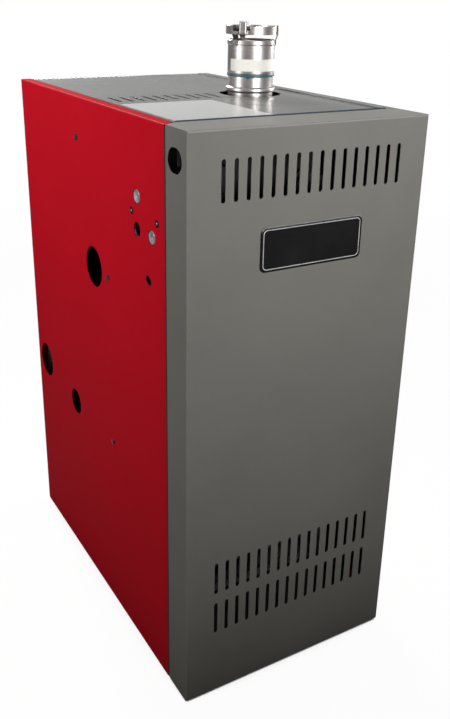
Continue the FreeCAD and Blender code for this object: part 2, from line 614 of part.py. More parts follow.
def section(label, number):
    """One hollow casting: flue faces with ribs, nipple ports, and ears and tappings on the ends."""
    casting = body_named(label)
    first, last = number == 0, number == int(size("section_count")) - 1
    low = f"({STACK_LEFT} + {number} * {PITCH} + section_joint / 2)"
    high = f"({STACK_LEFT} + {number + 1} * {PITCH} - section_joint / 2)"
    outline = sketch(casting, SIDE, low)
    rectangle(outline, SECTION_FRONT, SECTION_BACK, SECTION_FOOT, SECTION_TOP)
    pad(casting, outline, f"{high} - {low}")
    fillet(casting, running_along(casting, "X"), "section_corner")
    sides = ([] if first else [(low, False)]) + ([] if last else [(high, True)])
    for level, flip in sides:
        flue = sketch(casting, SIDE, level)
        rectangle(flue, f"{SECTION_FRONT} + section_land", f"{SECTION_BACK} - section_land",
                  f"{SECTION_FOOT} - section_land", f"{SECTION_TOP} + section_land")
        pocket(casting, flue, "flue_depth", flip=not flip)
        floor = f"{level} - flue_depth" if flip else f"{level} + flue_depth"
        bosses = sketch(casting, SIDE, floor)
        for spot in (SUPPLY, RETURN):
            circle(bosses, *spot, "port_boss")
        pad(casting, bosses, "flue_depth", flip=not flip)
        rib = sketch(casting, SIDE, floor)
        start = f"({SECTION_FRONT} + section_land + rib_inset)"
        rectangle(rib, f"{start} - rib_width / 2", f"{start} + rib_width / 2",
                  f"{SECTION_FOOT} + rib_margin", f"{SECTION_TOP} - rib_margin")
        spread = f"({SECTION_BACK} - {SECTION_FRONT} - 2 * section_land - 2 * rib_inset)"
        row_of(casting, pad(casting, rib, "flue_depth - rib_gap", flip=not flip), rib, "H_Axis",
               "rib_count", f"{spread} / (rib_count - 1)")
    water = sketch(casting, SIDE, f"({low} + {high}) / 2")
    rectangle(water, f"{SECTION_FRONT} + section_wall", f"{SECTION_BACK} - section_wall",
              f"{SECTION_FOOT} + section_wall", f"{SECTION_TOP} - section_wall")
    pocket(casting, water, f"{high} - {low} - 2 * flue_depth - 2 * section_wall", both=True)
    for level, flip in sides:
        ports = sketch(casting, SIDE, level)
        for spot in (SUPPLY, RETURN):
            circle(ports, *spot, "nipple_radius + press_gap")
        pocket(casting, ports, f"({high} - {low}) / 2", flip=not flip)
    if first:
        end_tappings(casting, low, high)
    if first or last:
        end_ears(casting, low if first else high, not first)


def end_tappings(casting, low, high):
    """Round bosses on the outside of the left end, tapped for supply, return and drain."""
    taps = ((SUPPLY, "pipe_tap"), (RETURN, "pipe_tap"), (DRAIN, "drain_tap"))
    for spot, tap in taps:
        boss = sketch(casting, SIDE, f"{low} - tapping_reach")
        circle(boss, *spot, f"{tap} + tapping_wall")
        pad(casting, boss, "tapping_reach + section_wall")
    for spot, tap in taps:
        bore = sketch(casting, SIDE, f"{low} - tapping_reach")
        circle(bore, *spot, tap)
        pocket(casting, bore, f"tapping_reach + ({high} - {low}) / 2", flip=True)


def ear_places():
    """The y and z of the four tie rods, in front of and behind the sections."""
    return [(y, z) for y in (f"{SECTION_FRONT} - rod_room / 2", f"{SECTION_BACK} + rod_room / 2")
            for z in (f"{SECTION_FOOT} + tie_rod_inset", f"{SECTION_TOP} - tie_rod_inset")]


def end_ears(casting, level, flip):
    """Ears cast on an end section for the tie rods."""
    ears = sketch(casting, SIDE, level)
    for y, z in ear_places():
        front = size(y) < size(SECTION_FRONT)
        reach = "(rod_room - ear_gap)"
        near = f"{SECTION_FRONT} - {reach}" if front else f"{SECTION_BACK} - section_wall"
        far = f"{SECTION_FRONT} + section_wall" if front else f"{SECTION_BACK} + {reach}"
        rectangle(ears, near, far, f"{z} - ear_height / 2", f"{z} + ear_height / 2")
    pad(casting, ears, "ear_width", flip=flip)
    holes = sketch(casting, SIDE, level)
    for spot in ear_places():
        circle(holes, *spot, "tie_rod_radius + rod_clearance")
    pocket(casting, holes, "ear_width", flip=not flip)


def stack_hardware():
    """Push nipples between the sections, and the rods and nuts that draw the stack together."""
    nipples, rods, nuts = [], [], []
    for joint in range(1, int(size("section_count"))):
        middle = f"({STACK_LEFT} + {joint} * {PITCH})"
        for name, spot in (("upper", SUPPLY), ("lower", RETURN)):
            nipples.append(tube(f"nipple_{name}_{joint}", "x", f"{middle} - nipple_length / 2",
                                f"{middle} + nipple_length / 2", spot, "nipple_radius", "nipple_wall"))
    ends = ((f"{STACK_LEFT} + section_joint / 2 - nut_height", f"{STACK_LEFT} + section_joint / 2"),
            (f"{STACK_RIGHT} - section_joint / 2", f"{STACK_RIGHT} - section_joint / 2 + nut_height"))
    for number, spot in enumerate(ear_places(), start=1):
        rods.append(rod(f"tie_rod_{number}", "x", f"{STACK_LEFT} - rod_end", f"{STACK_RIGHT} + rod_end",
                        spot, "tie_rod_radius"))
        for side, (start, end) in zip(("left", "right"), ends):
            blank = hexagon(f"nut_blank_{side}_{number}", "x", start, end, spot, "nut_radius")
            hole = rod(f"nut_hole_{side}_{number}", "x", start, end, spot, "tie_rod_radius + running_gap")
            nuts.append(cut(f"nut_{side}_{number}", blank, [hole]))
    for label, pieces in (("push_nipples", nipples), ("tie_rods", rods), ("tie_rod_nuts", nuts)):
        node(join(label, pieces), label)


def combustion_base():
    """A steel box under the sections, with a ledge for them and a way in for the burner."""
    box = body_named("combustion_base")
    outline = sketch(box, PLAN, "base_height")
    front = f"({VEST} + sheet_gauge)"
    rectangle(outline, STACK_LEFT, STACK_RIGHT, front, SECTION_BACK)
    pad(box, outline, "chamber_height")
    shell(box, lying_in(box, "Face", "Z", "base_height"), "chamber_gauge")
    throat = sketch(box, PLAN, SECTION_FOOT)
    rectangle(throat, f"{STACK_LEFT} + chamber_ledge", f"{STACK_RIGHT} - chamber_ledge",
              f"{SECTION_FRONT} + chamber_ledge", f"{SECTION_BACK} - chamber_ledge")
    pocket(box, throat, "2 * chamber_gauge", both=True)
    opening = sketch(box, FACE, front)
    low = "base_height + opening_rise"
    rectangle(opening, "-opening_width / 2", "opening_width / 2", low, f"{low} + opening_height")
    pocket(box, opening, "4 * chamber_gauge", both=True)


def chamber_lining():
    """Fibre boards against the left, right and rear walls of the chamber."""
    lining = body_named("chamber_lining")
    outline = sketch(lining, PLAN, "base_height")
    left, right = f"({STACK_LEFT} + chamber_gauge)", f"({STACK_RIGHT} - chamber_gauge)"
    front, rear = f"({VEST} + sheet_gauge + chamber_gauge)", f"({SECTION_BACK} - chamber_gauge)"
    board = "lining_depth"
    polygon(outline, [(left, front), (f"{left} + {board}", front),
                      (f"{left} + {board}", f"{rear} - {board}"),
                      (f"{right} - {board}", f"{rear} - {board}"), (f"{right} - {board}", front),
                      (right, front), (right, rear), (left, rear)])
    pad(lining, outline, "chamber_height - chamber_gauge")


def burner_places():
    """The x of each burner, under the flue between two sections."""
    return [f"({STACK_LEFT} + {joint} * {PITCH})" for joint in range(1, int(size("section_count")))]


def burner(number, x):
    """A rolled tube with a venturi mouth in front, a closed tail and flame ports along its top."""
    tube_body = body_named(f"burner_{number}")
    place(tube_body, x, BURNER_FRONT, BURNER_Z)
    tail = f"({SECTION_BACK} - burner_tail - {BURNER_FRONT})"
    profile = sketch(tube_body, PLAN)
    outside = [("mouth_radius", "0"), ("throat_radius", "throat_length"),
               ("burner_radius", "venturi_length"), ("burner_radius", tail), ("0", tail)]
    inside = [("0", f"{tail} - burner_gauge"), ("burner_radius - burner_gauge", f"{tail} - burner_gauge"),
              ("burner_radius - burner_gauge", "venturi_length"),
              ("throat_radius - burner_gauge", "throat_length"), ("mouth_radius - burner_gauge", "0")]
    polygon(profile, outside + inside)
    revolve(tube_body, profile)
    ports = sketch(tube_body, PLAN)
    start = "burner_reach + flame_port_start"
    rectangle(ports, "-flame_port_length / 2", "flame_port_length / 2", start, f"{start} + flame_port_width")
    one = pocket(tube_body, ports, "2 * burner_radius", flip=True)
    row_of(tube_body, one, ports, "V_Axis", "flame_port_count", "flame_port_pitch")


def burner_plate():
    """The cover of the burner opening, which carries the burners, the igniter and the sight glass."""
    plate = body_named("burner_plate")
    outline = sketch(plate, FACE, VEST)
    low, half = "base_height + opening_rise", "(opening_width / 2 + plate_lap)"
    rectangle(outline, f"-{half}", half, f"{low} - plate_lap", f"{low} + opening_height + plate_lap")
    pad(plate, outline, "plate_gauge")
    fillet(plate, running_along(plate, "Y"), "plate_lap / 2")
    holes = sketch(plate, FACE)
    for x in burner_places():
        circle(holes, x, BURNER_Z, "burner_radius + burner_clearance")
    for x in (f"-{PITCH} / 2", f"{PITCH} / 2"):
        circle(holes, x, f"{BURNER_Z} + igniter_rise", "igniter_radius + lap_gap")
    circle(holes, "-sight_offset", f"{BURNER_Z} + sight_rise", "sight_radius - sight_depth")
    pocket(plate, holes)
    glass = rod("sight_glass", "y", f"{PLATE_FRONT} - sight_depth", PLATE_FRONT,
                ("-sight_offset", f"{BURNER_Z} + sight_rise"), "sight_radius")
    node(glass, "sight_glass")


def flame_rods():
    """The igniter and the flame sensor: a ceramic holder with a square head and a rod to the flame."""
    for label, x in (("igniter", f"-{PITCH} / 2"), ("flame_sensor", f"{PITCH} / 2")):
        spot = (x, f"{BURNER_Z} + igniter_rise")
        half = "igniter_head / 2"
        head = block(label + "_head", (f"{x} - {half}", f"{x} + {half}"),
                     (f"{PLATE_FRONT} - igniter_head_depth", PLATE_FRONT),
                     (f"{spot[1]} - {half}", f"{spot[1]} + {half}"))
        sleeve = rod(label + "_sleeve", "y", f"{PLATE_FRONT} - igniter_head_depth",
                     f"{VEST} + chamber_ledge", spot, "igniter_radius")
        tip = rod(label + "_tip", "y", VEST, f"{VEST} + igniter_reach", spot, "igniter_rod")
        node(join(label, [head, sleeve, tip]), label)


def gas_manifold():
    """A capped pipe across the burner mouths with one spud and brass orifice for each burner."""
    start = f"{burner_places()[0]} - manifold_overhang"
    end = f"{burner_places()[-1]} + manifold_overhang"
    across = (GAS_Y, BURNER_Z)
    pipe = rod("manifold_pipe", "x", start, end, across, "manifold_radius")
    bore = rod("manifold_bore", "x", f"{start} + manifold_wall", f"{end} - manifold_wall", across,
               "manifold_radius - manifold_wall")
    inlet = rod("manifold_inlet", "z", BURNER_Z, f"{BURNER_Z} + 2 * manifold_radius",
                (f"{VALVE_LEFT} - elbow_radius", GAS_Y), "riser_radius - riser_wall")
    collar = rod("manifold_collar", "z", BURNER_Z, f"{BURNER_Z} + manifold_radius + manifold_wall",
                 (f"{VALVE_LEFT} - elbow_radius", GAS_Y), "riser_radius + manifold_wall")
    seats, orifices = [], []
    for number, x in enumerate(burner_places(), start=1):
        spot = (x, BURNER_Z)
        seats.append(rod(f"orifice_seat_{number}", "y", GAS_Y, f"{GAS_Y} + 2 * manifold_radius", spot,
                         "orifice_radius + running_gap"))
        body = rod(f"orifice_shank_{number}", "y", f"{GAS_Y} + manifold_radius - manifold_wall",
                   f"{GAS_Y} + manifold_radius + manifold_wall", spot, "orifice_radius")
        head = hexagon(f"orifice_head_{number}", "y", f"{GAS_Y} + manifold_radius + lap_gap",
                       f"{GAS_Y} + manifold_radius + orifice_reach", spot, "orifice_radius * 1.3")
        hole = rod(f"orifice_hole_{number}", "y", GAS_Y, f"{GAS_Y} + 2 * manifold_radius", spot,
                   "orifice_bore")
        orifices.append(cut(f"orifice_{number}", join(f"orifice_blank_{number}", [body, head]), [hole]))
    node(cut("gas_manifold", join("manifold_blank", [pipe, collar]), [bore, inlet] + seats), "gas_manifold")
    node(join("burner_orifices", orifices), "burner_orifices")


def manifold_brackets():
    """Two sheet brackets on the burner plate with a saddle each for the manifold."""
    brackets = body_named("manifold_brackets")
    arm = sketch(brackets, SIDE, f"-{PITCH} / 2")
    low = f"({BURNER_Z} - 2 * bracket_height)"
    polygon(arm, [(PLATE_FRONT, low), (PLATE_FRONT, f"{low} + bracket_height"), (GAS_Y, BURNER_Z),
                  (f"{GAS_Y} - manifold_radius", BURNER_Z),
                  (f"{GAS_Y} - manifold_radius", f"{BURNER_Z} - bracket_height")])
    one = pad(brackets, arm, "bracket_gauge", both=True)
    saddle = sketch(brackets, SIDE, f"-{PITCH} / 2")
    circle(saddle, GAS_Y, BURNER_Z, "manifold_radius + running_gap")
    two = pocket(brackets, saddle, "2 * bracket_gauge", both=True)
    tab = sketch(brackets, FACE, PLATE_FRONT)
    rectangle(tab, f"-{PITCH} / 2", f"-{PITCH} / 2 + bracket_height", low, f"{low} + bracket_height")
    three = pad(brackets, tab, "bracket_gauge")
    item = feature(brackets, "LinearPattern", Originals=[one, two, three], Direction=(tab, ["H_Axis"]))
    item.Occurrences = 2
    item.setExpression("Length", tied(PITCH))
    doc.recompute()


def gas_riser():
    """A pipe from the valve's outlet that turns down through an elbow into the manifold."""
    drop_x = f"({VALVE_LEFT} - elbow_radius)"
    foot = f"{BURNER_Z} + manifold_radius + manifold_wall"
    pieces = []
    for name, radius in (("outside", "riser_radius"), ("bore", "riser_radius - riser_wall")):
        bend = doc.addObject("Part::Torus", f"riser_elbow_{name}")
        bend.setExpression("Radius1", tied("elbow_radius"))
        bend.setExpression("Radius2", tied(radius))
        bend.Angle3 = 90
        bend.Placement.Rotation = FreeCAD.Rotation(FreeCAD.Vector(1, 0, 0), 90)
        turned = FreeCAD.Rotation(FreeCAD.Vector(0, 0, 1), 90)
        bend.Placement.Rotation = bend.Placement.Rotation.multiply(turned)
        for axis, text in zip("xyz", (VALVE_LEFT, GAS_Y, f"{GAS_Z} - elbow_radius")):
            bend.setExpression(f"Placement.Base.{axis}", tied(text))
        leg = rod(f"riser_leg_{name}", "z", foot, f"{GAS_Z} - elbow_radius", (drop_x, GAS_Y), radius)
        pieces.append(join(f"riser_{name}", [bend, leg]))
    node(cut("gas_riser", pieces[0], [pieces[1]]), "gas_riser")


def gas_valve():
    """A die-cast valve body with a tapped inlet, two coils' housing and a regulator cap."""
    valve = body_named("gas_valve")
    outline = sketch(valve, SIDE, VALVE_LEFT)
    rectangle(outline, VALVE_FRONT, f"{GAS_Y} + valve_depth / 2",
              f"{GAS_Z} - valve_height / 2", f"{GAS_Z} + valve_height / 2")
    pad(valve, outline, "valve_length")
    fillet(valve, running_along(valve, "X") + running_along(valve, "Z"), "valve_corner")
    boss = sketch(valve, SIDE, VALVE_RIGHT)
    circle(boss, GAS_Y, GAS_Z, "gas_boss")
    pad(valve, boss, "gas_boss_reach")
    top = sketch(valve, PLAN, f"{GAS_Z} + valve_height / 2")
    circle(top, "valve_offset - valve_length / 4", GAS_Y, "coil_radius")
    pad(valve, top, "coil_height")
    fillet(valve, lying_in(valve, "Edge", "Z", f"{GAS_Z} + valve_height / 2 + coil_height"), "valve_corner")
    cap = sketch(valve, PLAN, f"{GAS_Z} + valve_height / 2")
    circle(cap, "valve_offset + valve_length / 4", GAS_Y, "regulator_radius")
    pad(valve, cap, "regulator_height")
    tap = sketch(valve, SIDE, f"{VALVE_RIGHT} + gas_boss_reach")
    circle(tap, GAS_Y, GAS_Z, "gas_tap")
    pocket(valve, tap, "gas_tap_depth")
    outlet = sketch(valve, SIDE, VALVE_LEFT)
    circle(outlet, GAS_Y, GAS_Z, "riser_radius - riser_wall")
    pocket(valve, outlet, "gas_tap_depth", flip=True)
    spindle = sketch(valve, FACE, VALVE_FRONT)
    circle(spindle, "valve_offset + knob_offset", GAS_Z, "spindle_radius + running_gap")
    pocket(valve, spindle, "spindle_depth + knob_gap", flip=False)


def gas_valve_knob():
    """A round knob with a finger grip across it, on a spindle that turns in the valve."""
    knob = body_named("gas_valve_knob")
    spot = ("valve_offset + knob_offset", GAS_Z)
    face = f"({VALVE_FRONT} - knob_gap)"
    skirt = sketch(knob, FACE, face)
    circle(skirt, *spot, "knob_radius")
    pad(knob, skirt, "knob_depth - knob_grip_depth")
    grip = sketch(knob, FACE, f"{face} - knob_depth + knob_grip_depth")
    rectangle(grip, f"{spot[0]} - knob_radius * 0.9", f"{spot[0]} + knob_radius * 0.9",
              f"{spot[1]} - knob_grip / 2", f"{spot[1]} + knob_grip / 2")
    pad(knob, grip, "knob_grip_depth")
    fillet(knob, lying_in(knob, "Edge", "Y", f"{face} - knob_depth"), "knob_grip / 5")
    stem = sketch(knob, FACE, face)
    circle(stem, *spot, "spindle_radius")
    pad(knob, stem, "spindle_depth", flip=True)


def flue_collector():
    """A lofted sheet hood over the sections with the inducer's eye in its flat top."""
    hood = body_named("flue_collector")
    edge = ("collector_edge", "(collector_edge + collector_slope)", "(collector_edge + collector_rake)")
    lower = sketch(hood, PLAN, SECTION_TOP)
    rectangle(lower, f"{STACK_LEFT} + {edge[0]}", f"{STACK_RIGHT} - {edge[0]}",
              f"{SECTION_FRONT} + {edge[0]}", f"{SECTION_BACK} - {edge[0]}")
    upper = sketch(hood, PLAN, COLLECTOR_TOP)
    rectangle(upper, f"{STACK_LEFT} + {edge[1]}", f"{STACK_RIGHT} - {edge[1]}",
              f"{SECTION_FRONT} + {edge[2]}", f"{SECTION_BACK} - {edge[2]}")
    doc.recompute()
    feature(hood, "AdditiveLoft", Profile=lower, Sections=[upper], Ruled=True)
    doc.recompute()
    shell(hood, lying_in(hood, "Face", "Z", SECTION_TOP), "collector_gauge")
    eye = sketch(hood, PLAN, COLLECTOR_TOP)
    circle(eye, WHEEL_X, WHEEL_Y, "eye_radius")
    pocket(hood, eye, "4 * collector_gauge", both=True)


def scroll_face(inset):
    """The volute in plan: three quarter arcs of growing radius, then a straight outlet box."""
    start, grow = size("cutoff_radius") - inset, size("scroll_growth")
    drop = size(SCROLL_DROP) - inset
    end = size("scroll_reach + outlet_width / 2") - inset
    upper = size(f"outlet_width - {SCROLL_DROP}") - inset
    tongue = start + max(upper, 1)

    def quarter(x, y, radius, begin):
        angles = [math.radians(begin + step) for step in (0, 45, 90)]
        spots = [FreeCAD.Vector(x + radius * math.cos(a), y + radius * math.sin(a), 0) for a in angles]
        return Part.Arc(*spots).toShape()

    arcs = [quarter(0, 0, start, 0), quarter(0, -grow, start + grow, 90),
            quarter(grow, -grow, start + 2 * grow, 180)]
    corners = [(grow, -drop), (end, -drop), (end, upper), (tongue, upper), (start, 0)]
    spots = [FreeCAD.Vector(x, y, 0) for x, y in corners]
    lines = [Part.makeLine(one, two) for one, two in zip(spots, spots[1:])]
    return Part.Face(Part.Wire(arcs + lines))


def inducer_housing():
    """The inducer's volute casing: a hollow scroll with an eye below and a round outlet on top."""
    wall, height = size("scroll_gauge"), size("scroll_height")
    up = FreeCAD.Vector(0, 0, 1)
    casing = scroll_face(0).extrude(up * height)
    hollow = scroll_face(wall).extrude(up * (height - 2 * wall))
    hollow.translate(up * wall)
    outlet_y = size(f"outlet_width / 2 - {SCROLL_DROP}")
    outlet = FreeCAD.Vector(size("scroll_reach"), outlet_y, height - 2 * wall)
    eye = Part.makeCylinder(size("eye_radius"), 2 * wall, -wall * up)
    shaft_way = Part.makeCylinder(size("motor_hole"), 2 * wall, (height - 1.5 * wall) * up)
    collar = Part.makeCylinder(size("stub_radius - vent_wall"), 4 * wall, outlet)
    barb_spot = FreeCAD.Vector(size(f"{SWITCH_X} - {WHEEL_X}"), -size(SCROLL_DROP), height / 2)
    ahead = FreeCAD.Vector(0, -1, 0)
    barb = Part.makeCylinder(size("barb_radius"), size("barb_reach"), barb_spot, ahead)
    shape = casing.cut(hollow).cut(eye).cut(shaft_way).cut(collar).fuse(barb)
    housing = doc.addObject("Part::Feature", "inducer_housing")
    housing.Shape = shape.removeSplitter()
    place(housing, WHEEL_X, WHEEL_Y, COLLECTOR_TOP)
    node(housing, "inducer_housing")


def inducer_wheel():
    """A squirrel-cage wheel: leaning blades between a back disc with its hub and a front ring."""
    wheel = body_named("inducer_wheel")
    place(wheel, WHEEL_X, WHEEL_Y, f"{COLLECTOR_TOP} + scroll_gauge + wheel_gap")
    disc = sketch(wheel, PLAN, "wheel_depth - wheel_gauge")
    circle(disc, "0", "0", "wheel_radius")
    pad(wheel, disc, "wheel_gauge")
    hub = sketch(wheel, PLAN, "wheel_depth - wheel_gauge")
    circle(hub, "0", "0", "hub_radius")
    pad(wheel, hub, "hub_depth", flip=True)
    blade = sketch(wheel, PLAN, "wheel_gauge / 2")
    half = "blade_gauge / 2"
    lean = ("cos(blade_angle)", "sin(blade_angle)")
    tip = "(wheel_radius - blade_gauge)"
    polygon(blade, [("wheel_eye", f"-{half}"), (f"{tip} * {lean[0]}", f"{tip} * {lean[1]} - {half}"),
                    (f"{tip} * {lean[0]}", f"{tip} * {lean[1]} + {half}"), ("wheel_eye", half)])
    one = pad(wheel, blade, "wheel_depth - wheel_gauge")
    ring_of(wheel, one, blade, "blade_count")
    ring = sketch(wheel, PLAN)
    circle(ring, "0", "0", "wheel_radius")
    circle(ring, "0", "0", "wheel_eye")
    pad(wheel, ring, "wheel_gauge")
    bore = sketch(wheel, PLAN)
    circle(bore, "0", "0", "shaft_radius + press_gap")
    pocket(wheel, bore)


def inducer_drive():
    """The motor on the scroll's top and the shaft that runs from it into the wheel's hub."""
    wheel_foot = f"({COLLECTOR_TOP} + scroll_gauge + wheel_gap)"
    shaft_top = f"{SCROLL_TOP} + motor_foot + motor_height - scroll_gauge"
    shaft = rod("inducer_shaft", "z", f"{wheel_foot} + wheel_depth - hub_depth", shaft_top,
                (WHEEL_X, WHEEL_Y), "shaft_radius")
    node(shaft, "inducer_shaft")
    motor = body_named("inducer_motor")
    place(motor, WHEEL_X, WHEEL_Y, SCROLL_TOP)
    foot = sketch(motor, PLAN)
    circle(foot, "0", "0", "motor_radius / 2")
    pad(motor, foot, "motor_foot")
    can = sketch(motor, PLAN, "motor_foot")
    circle(can, "0", "0", "motor_radius")
    pad(motor, can, "motor_height")
    for level in ("motor_foot", "motor_foot + motor_height"):
        rim = [name for name in lying_in(motor, "Edge", "Z", level)
               if motor.Tip.Shape.getElement(name).BoundBox.XLength > size("motor_radius + 1")]
        fillet(motor, rim, "motor_corner")
    slots = sketch(motor, PLAN, "motor_foot + (motor_height - motor_slot_height) / 2")
    rectangle(slots, "motor_radius - motor_slot_depth", "motor_radius + motor_slot_depth",
              "-motor_slot_width / 2", "motor_slot_width / 2")
    one = pocket(motor, slots, "motor_slot_height", flip=True)
    ring_of(motor, one, slots, "motor_slot_count")
    bore = sketch(motor, PLAN)
    circle(bore, "0", "0", "shaft_radius + running_gap")
    pocket(motor, bore)


def turned(label, outline):
    """A piece of the vent, revolved about the vent's axis from pairs of radius and height."""
    piece = body_named(label)
    place(piece, VENT_X, VENT_Y, "0")
    profile = sketch(piece, FACE)
    polygon(profile, outline)
    revolve(piece, profile)
    return piece


def vent_connector():
    """The beaded stub, the adapter that slips over it, their silicone seal and the rim's gasket."""
    bead = f"({TOP} + bead_rise)"
    bore, outside = "stub_radius - vent_wall", "stub_radius"
    stub_top = f"{ADAPTER_FOOT} + stub_lap"
    stub = turned("vent_stub", [
        (bore, SCROLL_TOP), ("stub_flange", SCROLL_TOP), ("stub_flange", f"{SCROLL_TOP} + scroll_gauge"),
        (outside, f"{SCROLL_TOP} + scroll_gauge"), (outside, f"{bead} - bead_height / 2"),
        (f"{outside} + bead_depth", f"{bead} - bead_height / 2"),
        (f"{outside} + bead_depth", f"{bead} + bead_height / 2"),
        (outside, f"{bead} + bead_height / 2"), (outside, stub_top), (bore, stub_top)])
    edges = [name for sign in "-+" for name in lying_in(stub, "Edge", "Z", f"{bead} {sign} bead_height / 2")
             if stub.Tip.Shape.getElement(name).BoundBox.XLength > size(f"2 * {outside} + bead_depth")]
    fillet(stub, edges, "bead_depth * 0.9")
    sleeve, socket, wall = "(stub_radius + slip_gap)", "adapter_bore", "vent_wall"
    groove_top = f"({ADAPTER_TOP} - groove_drop)"
    groove_foot = f"({groove_top} - groove_height)"
    turned("vent_adapter", [
        (sleeve, ADAPTER_FOOT), (f"{socket} + {wall}", ADAPTER_FOOT),
        (f"{socket} + {wall}", f"{groove_foot} - groove_depth"),
        (f"{socket} + {wall} + groove_depth", groove_foot),
        (f"{socket} + {wall} + groove_depth", groove_top), (f"{socket} + {wall}", ADAPTER_TOP),
        (socket, ADAPTER_TOP), (f"{socket} + groove_depth", groove_top),
        (f"{socket} + groove_depth", groove_foot), (socket, f"{groove_foot} - groove_depth"),
        (socket, f"{stub_top} + {wall}"), (sleeve, f"{stub_top} + slip_gap")])
    inner, outer = f"{socket} + slip_gap", f"{socket} + groove_depth - slip_gap"
    low, high = f"{groove_foot} + slip_gap", f"{groove_top} - slip_gap"
    turned("vent_gasket", [(inner, low), (outer, low), (outer, high), (inner, high)])
    seal_foot, skin = f"{ADAPTER_FOOT} - seal_rise", f"{socket} + {wall} + seal_bulge"
    turned("vent_seal", [(sleeve, seal_foot), (skin, f"{seal_foot} + seal_bulge"),
                         (skin, ADAPTER_FOOT), (sleeve, ADAPTER_FOOT)])


def vent_label():
    """A bare paper band wrapped part of the way round the adapter."""
    pieces = []
    skin = "adapter_bore + vent_wall + slip_gap"
    for name, radius in (("outside", f"{skin} + vent_label_gauge"), ("inside", skin)):
        piece = doc.addObject("Part::Cylinder", f"vent_label_{name}")
        piece.setExpression("Radius", tied(radius))
        piece.setExpression("Height", tied("vent_label_height"))
        piece.setExpression("Angle", tied("vent_label_angle"))
        place(piece, VENT_X, VENT_Y, f"{ADAPTER_FOOT} + vent_label_rise", size("vent_label_first_angle"))
        pieces.append(piece)
    node(cut("vent_label", pieces[0], [pieces[1]]), "vent_label")


def locking_band():
    """The band that clamps the next length of vent: a hoop with a housing for its worm screw."""
    band = body_named("locking_band")
    place(band, VENT_X, VENT_Y, BAND_FOOT, size("band_angle"))
    hoop = sketch(band, PLAN)
    circle(hoop, "0", "0", "band_radius + band_gauge")
    circle(hoop, "0", "0", "band_radius")
    pad(band, hoop, "band_height")
    casing = sketch(band, PLAN)
    face = "(band_radius + band_gauge / 2)"
    rectangle(casing, face, f"{face} + housing_depth", "-housing_width / 2", "housing_width / 2")
    pad(band, casing, "housing_height")
    outer = f"{face} + housing_depth"
    fillet(band, lying_in(band, "Edge", "X", outer), "housing_depth / 4")
    bore = sketch(band, FACE)
    circle(bore, worm_x(), WORM_Z, "worm_radius + running_gap")
    pocket(band, bore, "2 * housing_width", both=True)


def worm_x():
    """How far the worm screw's axis lies from the vent's axis."""
    return "(band_radius + band_gauge / 2 + housing_depth / 2 + lap_gap)"


def band_screw():
    """The worm screw with its hexagon head, lying along the band in the housing."""
    screw = body_named("band_screw")
    place(screw, VENT_X, VENT_Y, BAND_FOOT, size("band_angle"))
    shank = sketch(screw, FACE)
    circle(shank, worm_x(), WORM_Z, "worm_radius")
    pad(screw, shank, "worm_length", both=True)
    head = sketch(screw, FACE, "-worm_length / 2")
    angles = [60 * corner for corner in range(6)]
    polygon(head, [(f"{worm_x()} + worm_head * cos({angle})", f"{WORM_Z} + worm_head * sin({angle})")
                   for angle in angles])
    pad(screw, head, "worm_head_length")


def band_clips():
    """Three sprung tongues welded to the adapter that hook over the band and keep it with the vent."""
    clips = body_named("band_clips")
    place(clips, VENT_X, VENT_Y, "0", size("clip_angle"))
    skin = "(adapter_bore + vent_wall + groove_depth + slip_gap)"
    band_face, gauge = "(band_radius + band_gauge + clip_gap)", "clip_gauge"
    low, knee = f"({ADAPTER_TOP} - clip_foot)", f"({ADAPTER_TOP} + clip_gap)"
    head = f"({BAND_FOOT} + band_height + clip_gap)"
    profile = sketch(clips, FACE)
    polygon(profile, [
        (skin, low), (f"{skin} + {gauge}", low), (f"{skin} + {gauge}", knee),
        (f"{band_face} + {gauge}", BAND_FOOT), (f"{band_face} + {gauge}", f"{head} + {gauge}"),
        (f"{band_face} - 2 * {gauge}", f"{head} + {gauge}"), (f"{band_face} - 2 * {gauge}", head),
        (band_face, head), (band_face, BAND_FOOT), (skin, knee)])
    tongue = pad(clips, profile, "clip_width", both=True)
    taper = sketch(clips, SIDE)
    for sign in ("", "-"):
        polygon(taper, [(f"{sign}clip_point / 2", low), (f"{sign}clip_width / 2", BAND_FOOT),
                        (f"{sign}clip_width", BAND_FOOT), (f"{sign}clip_width", f"{low} - clip_point"),
                        (f"{sign}clip_point / 2", f"{low} - clip_point")])
    notch = pocket(clips, taper)
    turn = sketch(clips, PLAN)
    circle(turn, "0", "0", "clip_width")
    item = feature(clips, "PolarPattern", Originals=[tongue, notch], Axis=(turn, ["N_Axis"]), Angle=360)
    item.setExpression("Occurrences", tied("clip_count"))
    doc.recompute()


def junction_box():
    """A galvanised box behind the left panel with two knock-outs in place and one taken out."""
    box = body_named("junction_box")
    half = "box_side / 2"
    outline = sketch(box, SIDE, INNER_LEFT)
    rectangle(outline, f"{BOX_Y} - {half}", f"{BOX_Y} + {half}", f"{BOX_Z} - {half}", f"{BOX_Z} + {half}")
    pad(box, outline, "box_depth")
    fillet(box, running_along(box, "X"), "box_corner")
    shell(box, lying_in(box, "Face", "X", f"{INNER_LEFT} + box_depth"), "box_gauge")
    places = conduit_places()
    way = sketch(box, SIDE, INNER_LEFT)
    circle(way, *places[0], "conduit_hole / 2")
    pocket(box, way, "4 * box_gauge", both=True)
    slugs = sketch(box, SIDE, INNER_LEFT)
    for spot in places[1:]:
        circle(slugs, *spot, "conduit_hole / 2")
        circle(slugs, *spot, "conduit_hole / 2 - box_gauge")
    pocket(box, slugs, "knockout_depth", flip=True)
    lid_x = f"({INNER_LEFT} + box_depth)"
    lid = block("junction_box_cover", (lid_x, f"{lid_x} + box_gauge"),
                (f"{BOX_Y} - {half}", f"{BOX_Y} + {half}"), (f"{BOX_Z} - {half}", f"{BOX_Z} + {half}"))
    node(lid, "junction_box_cover")


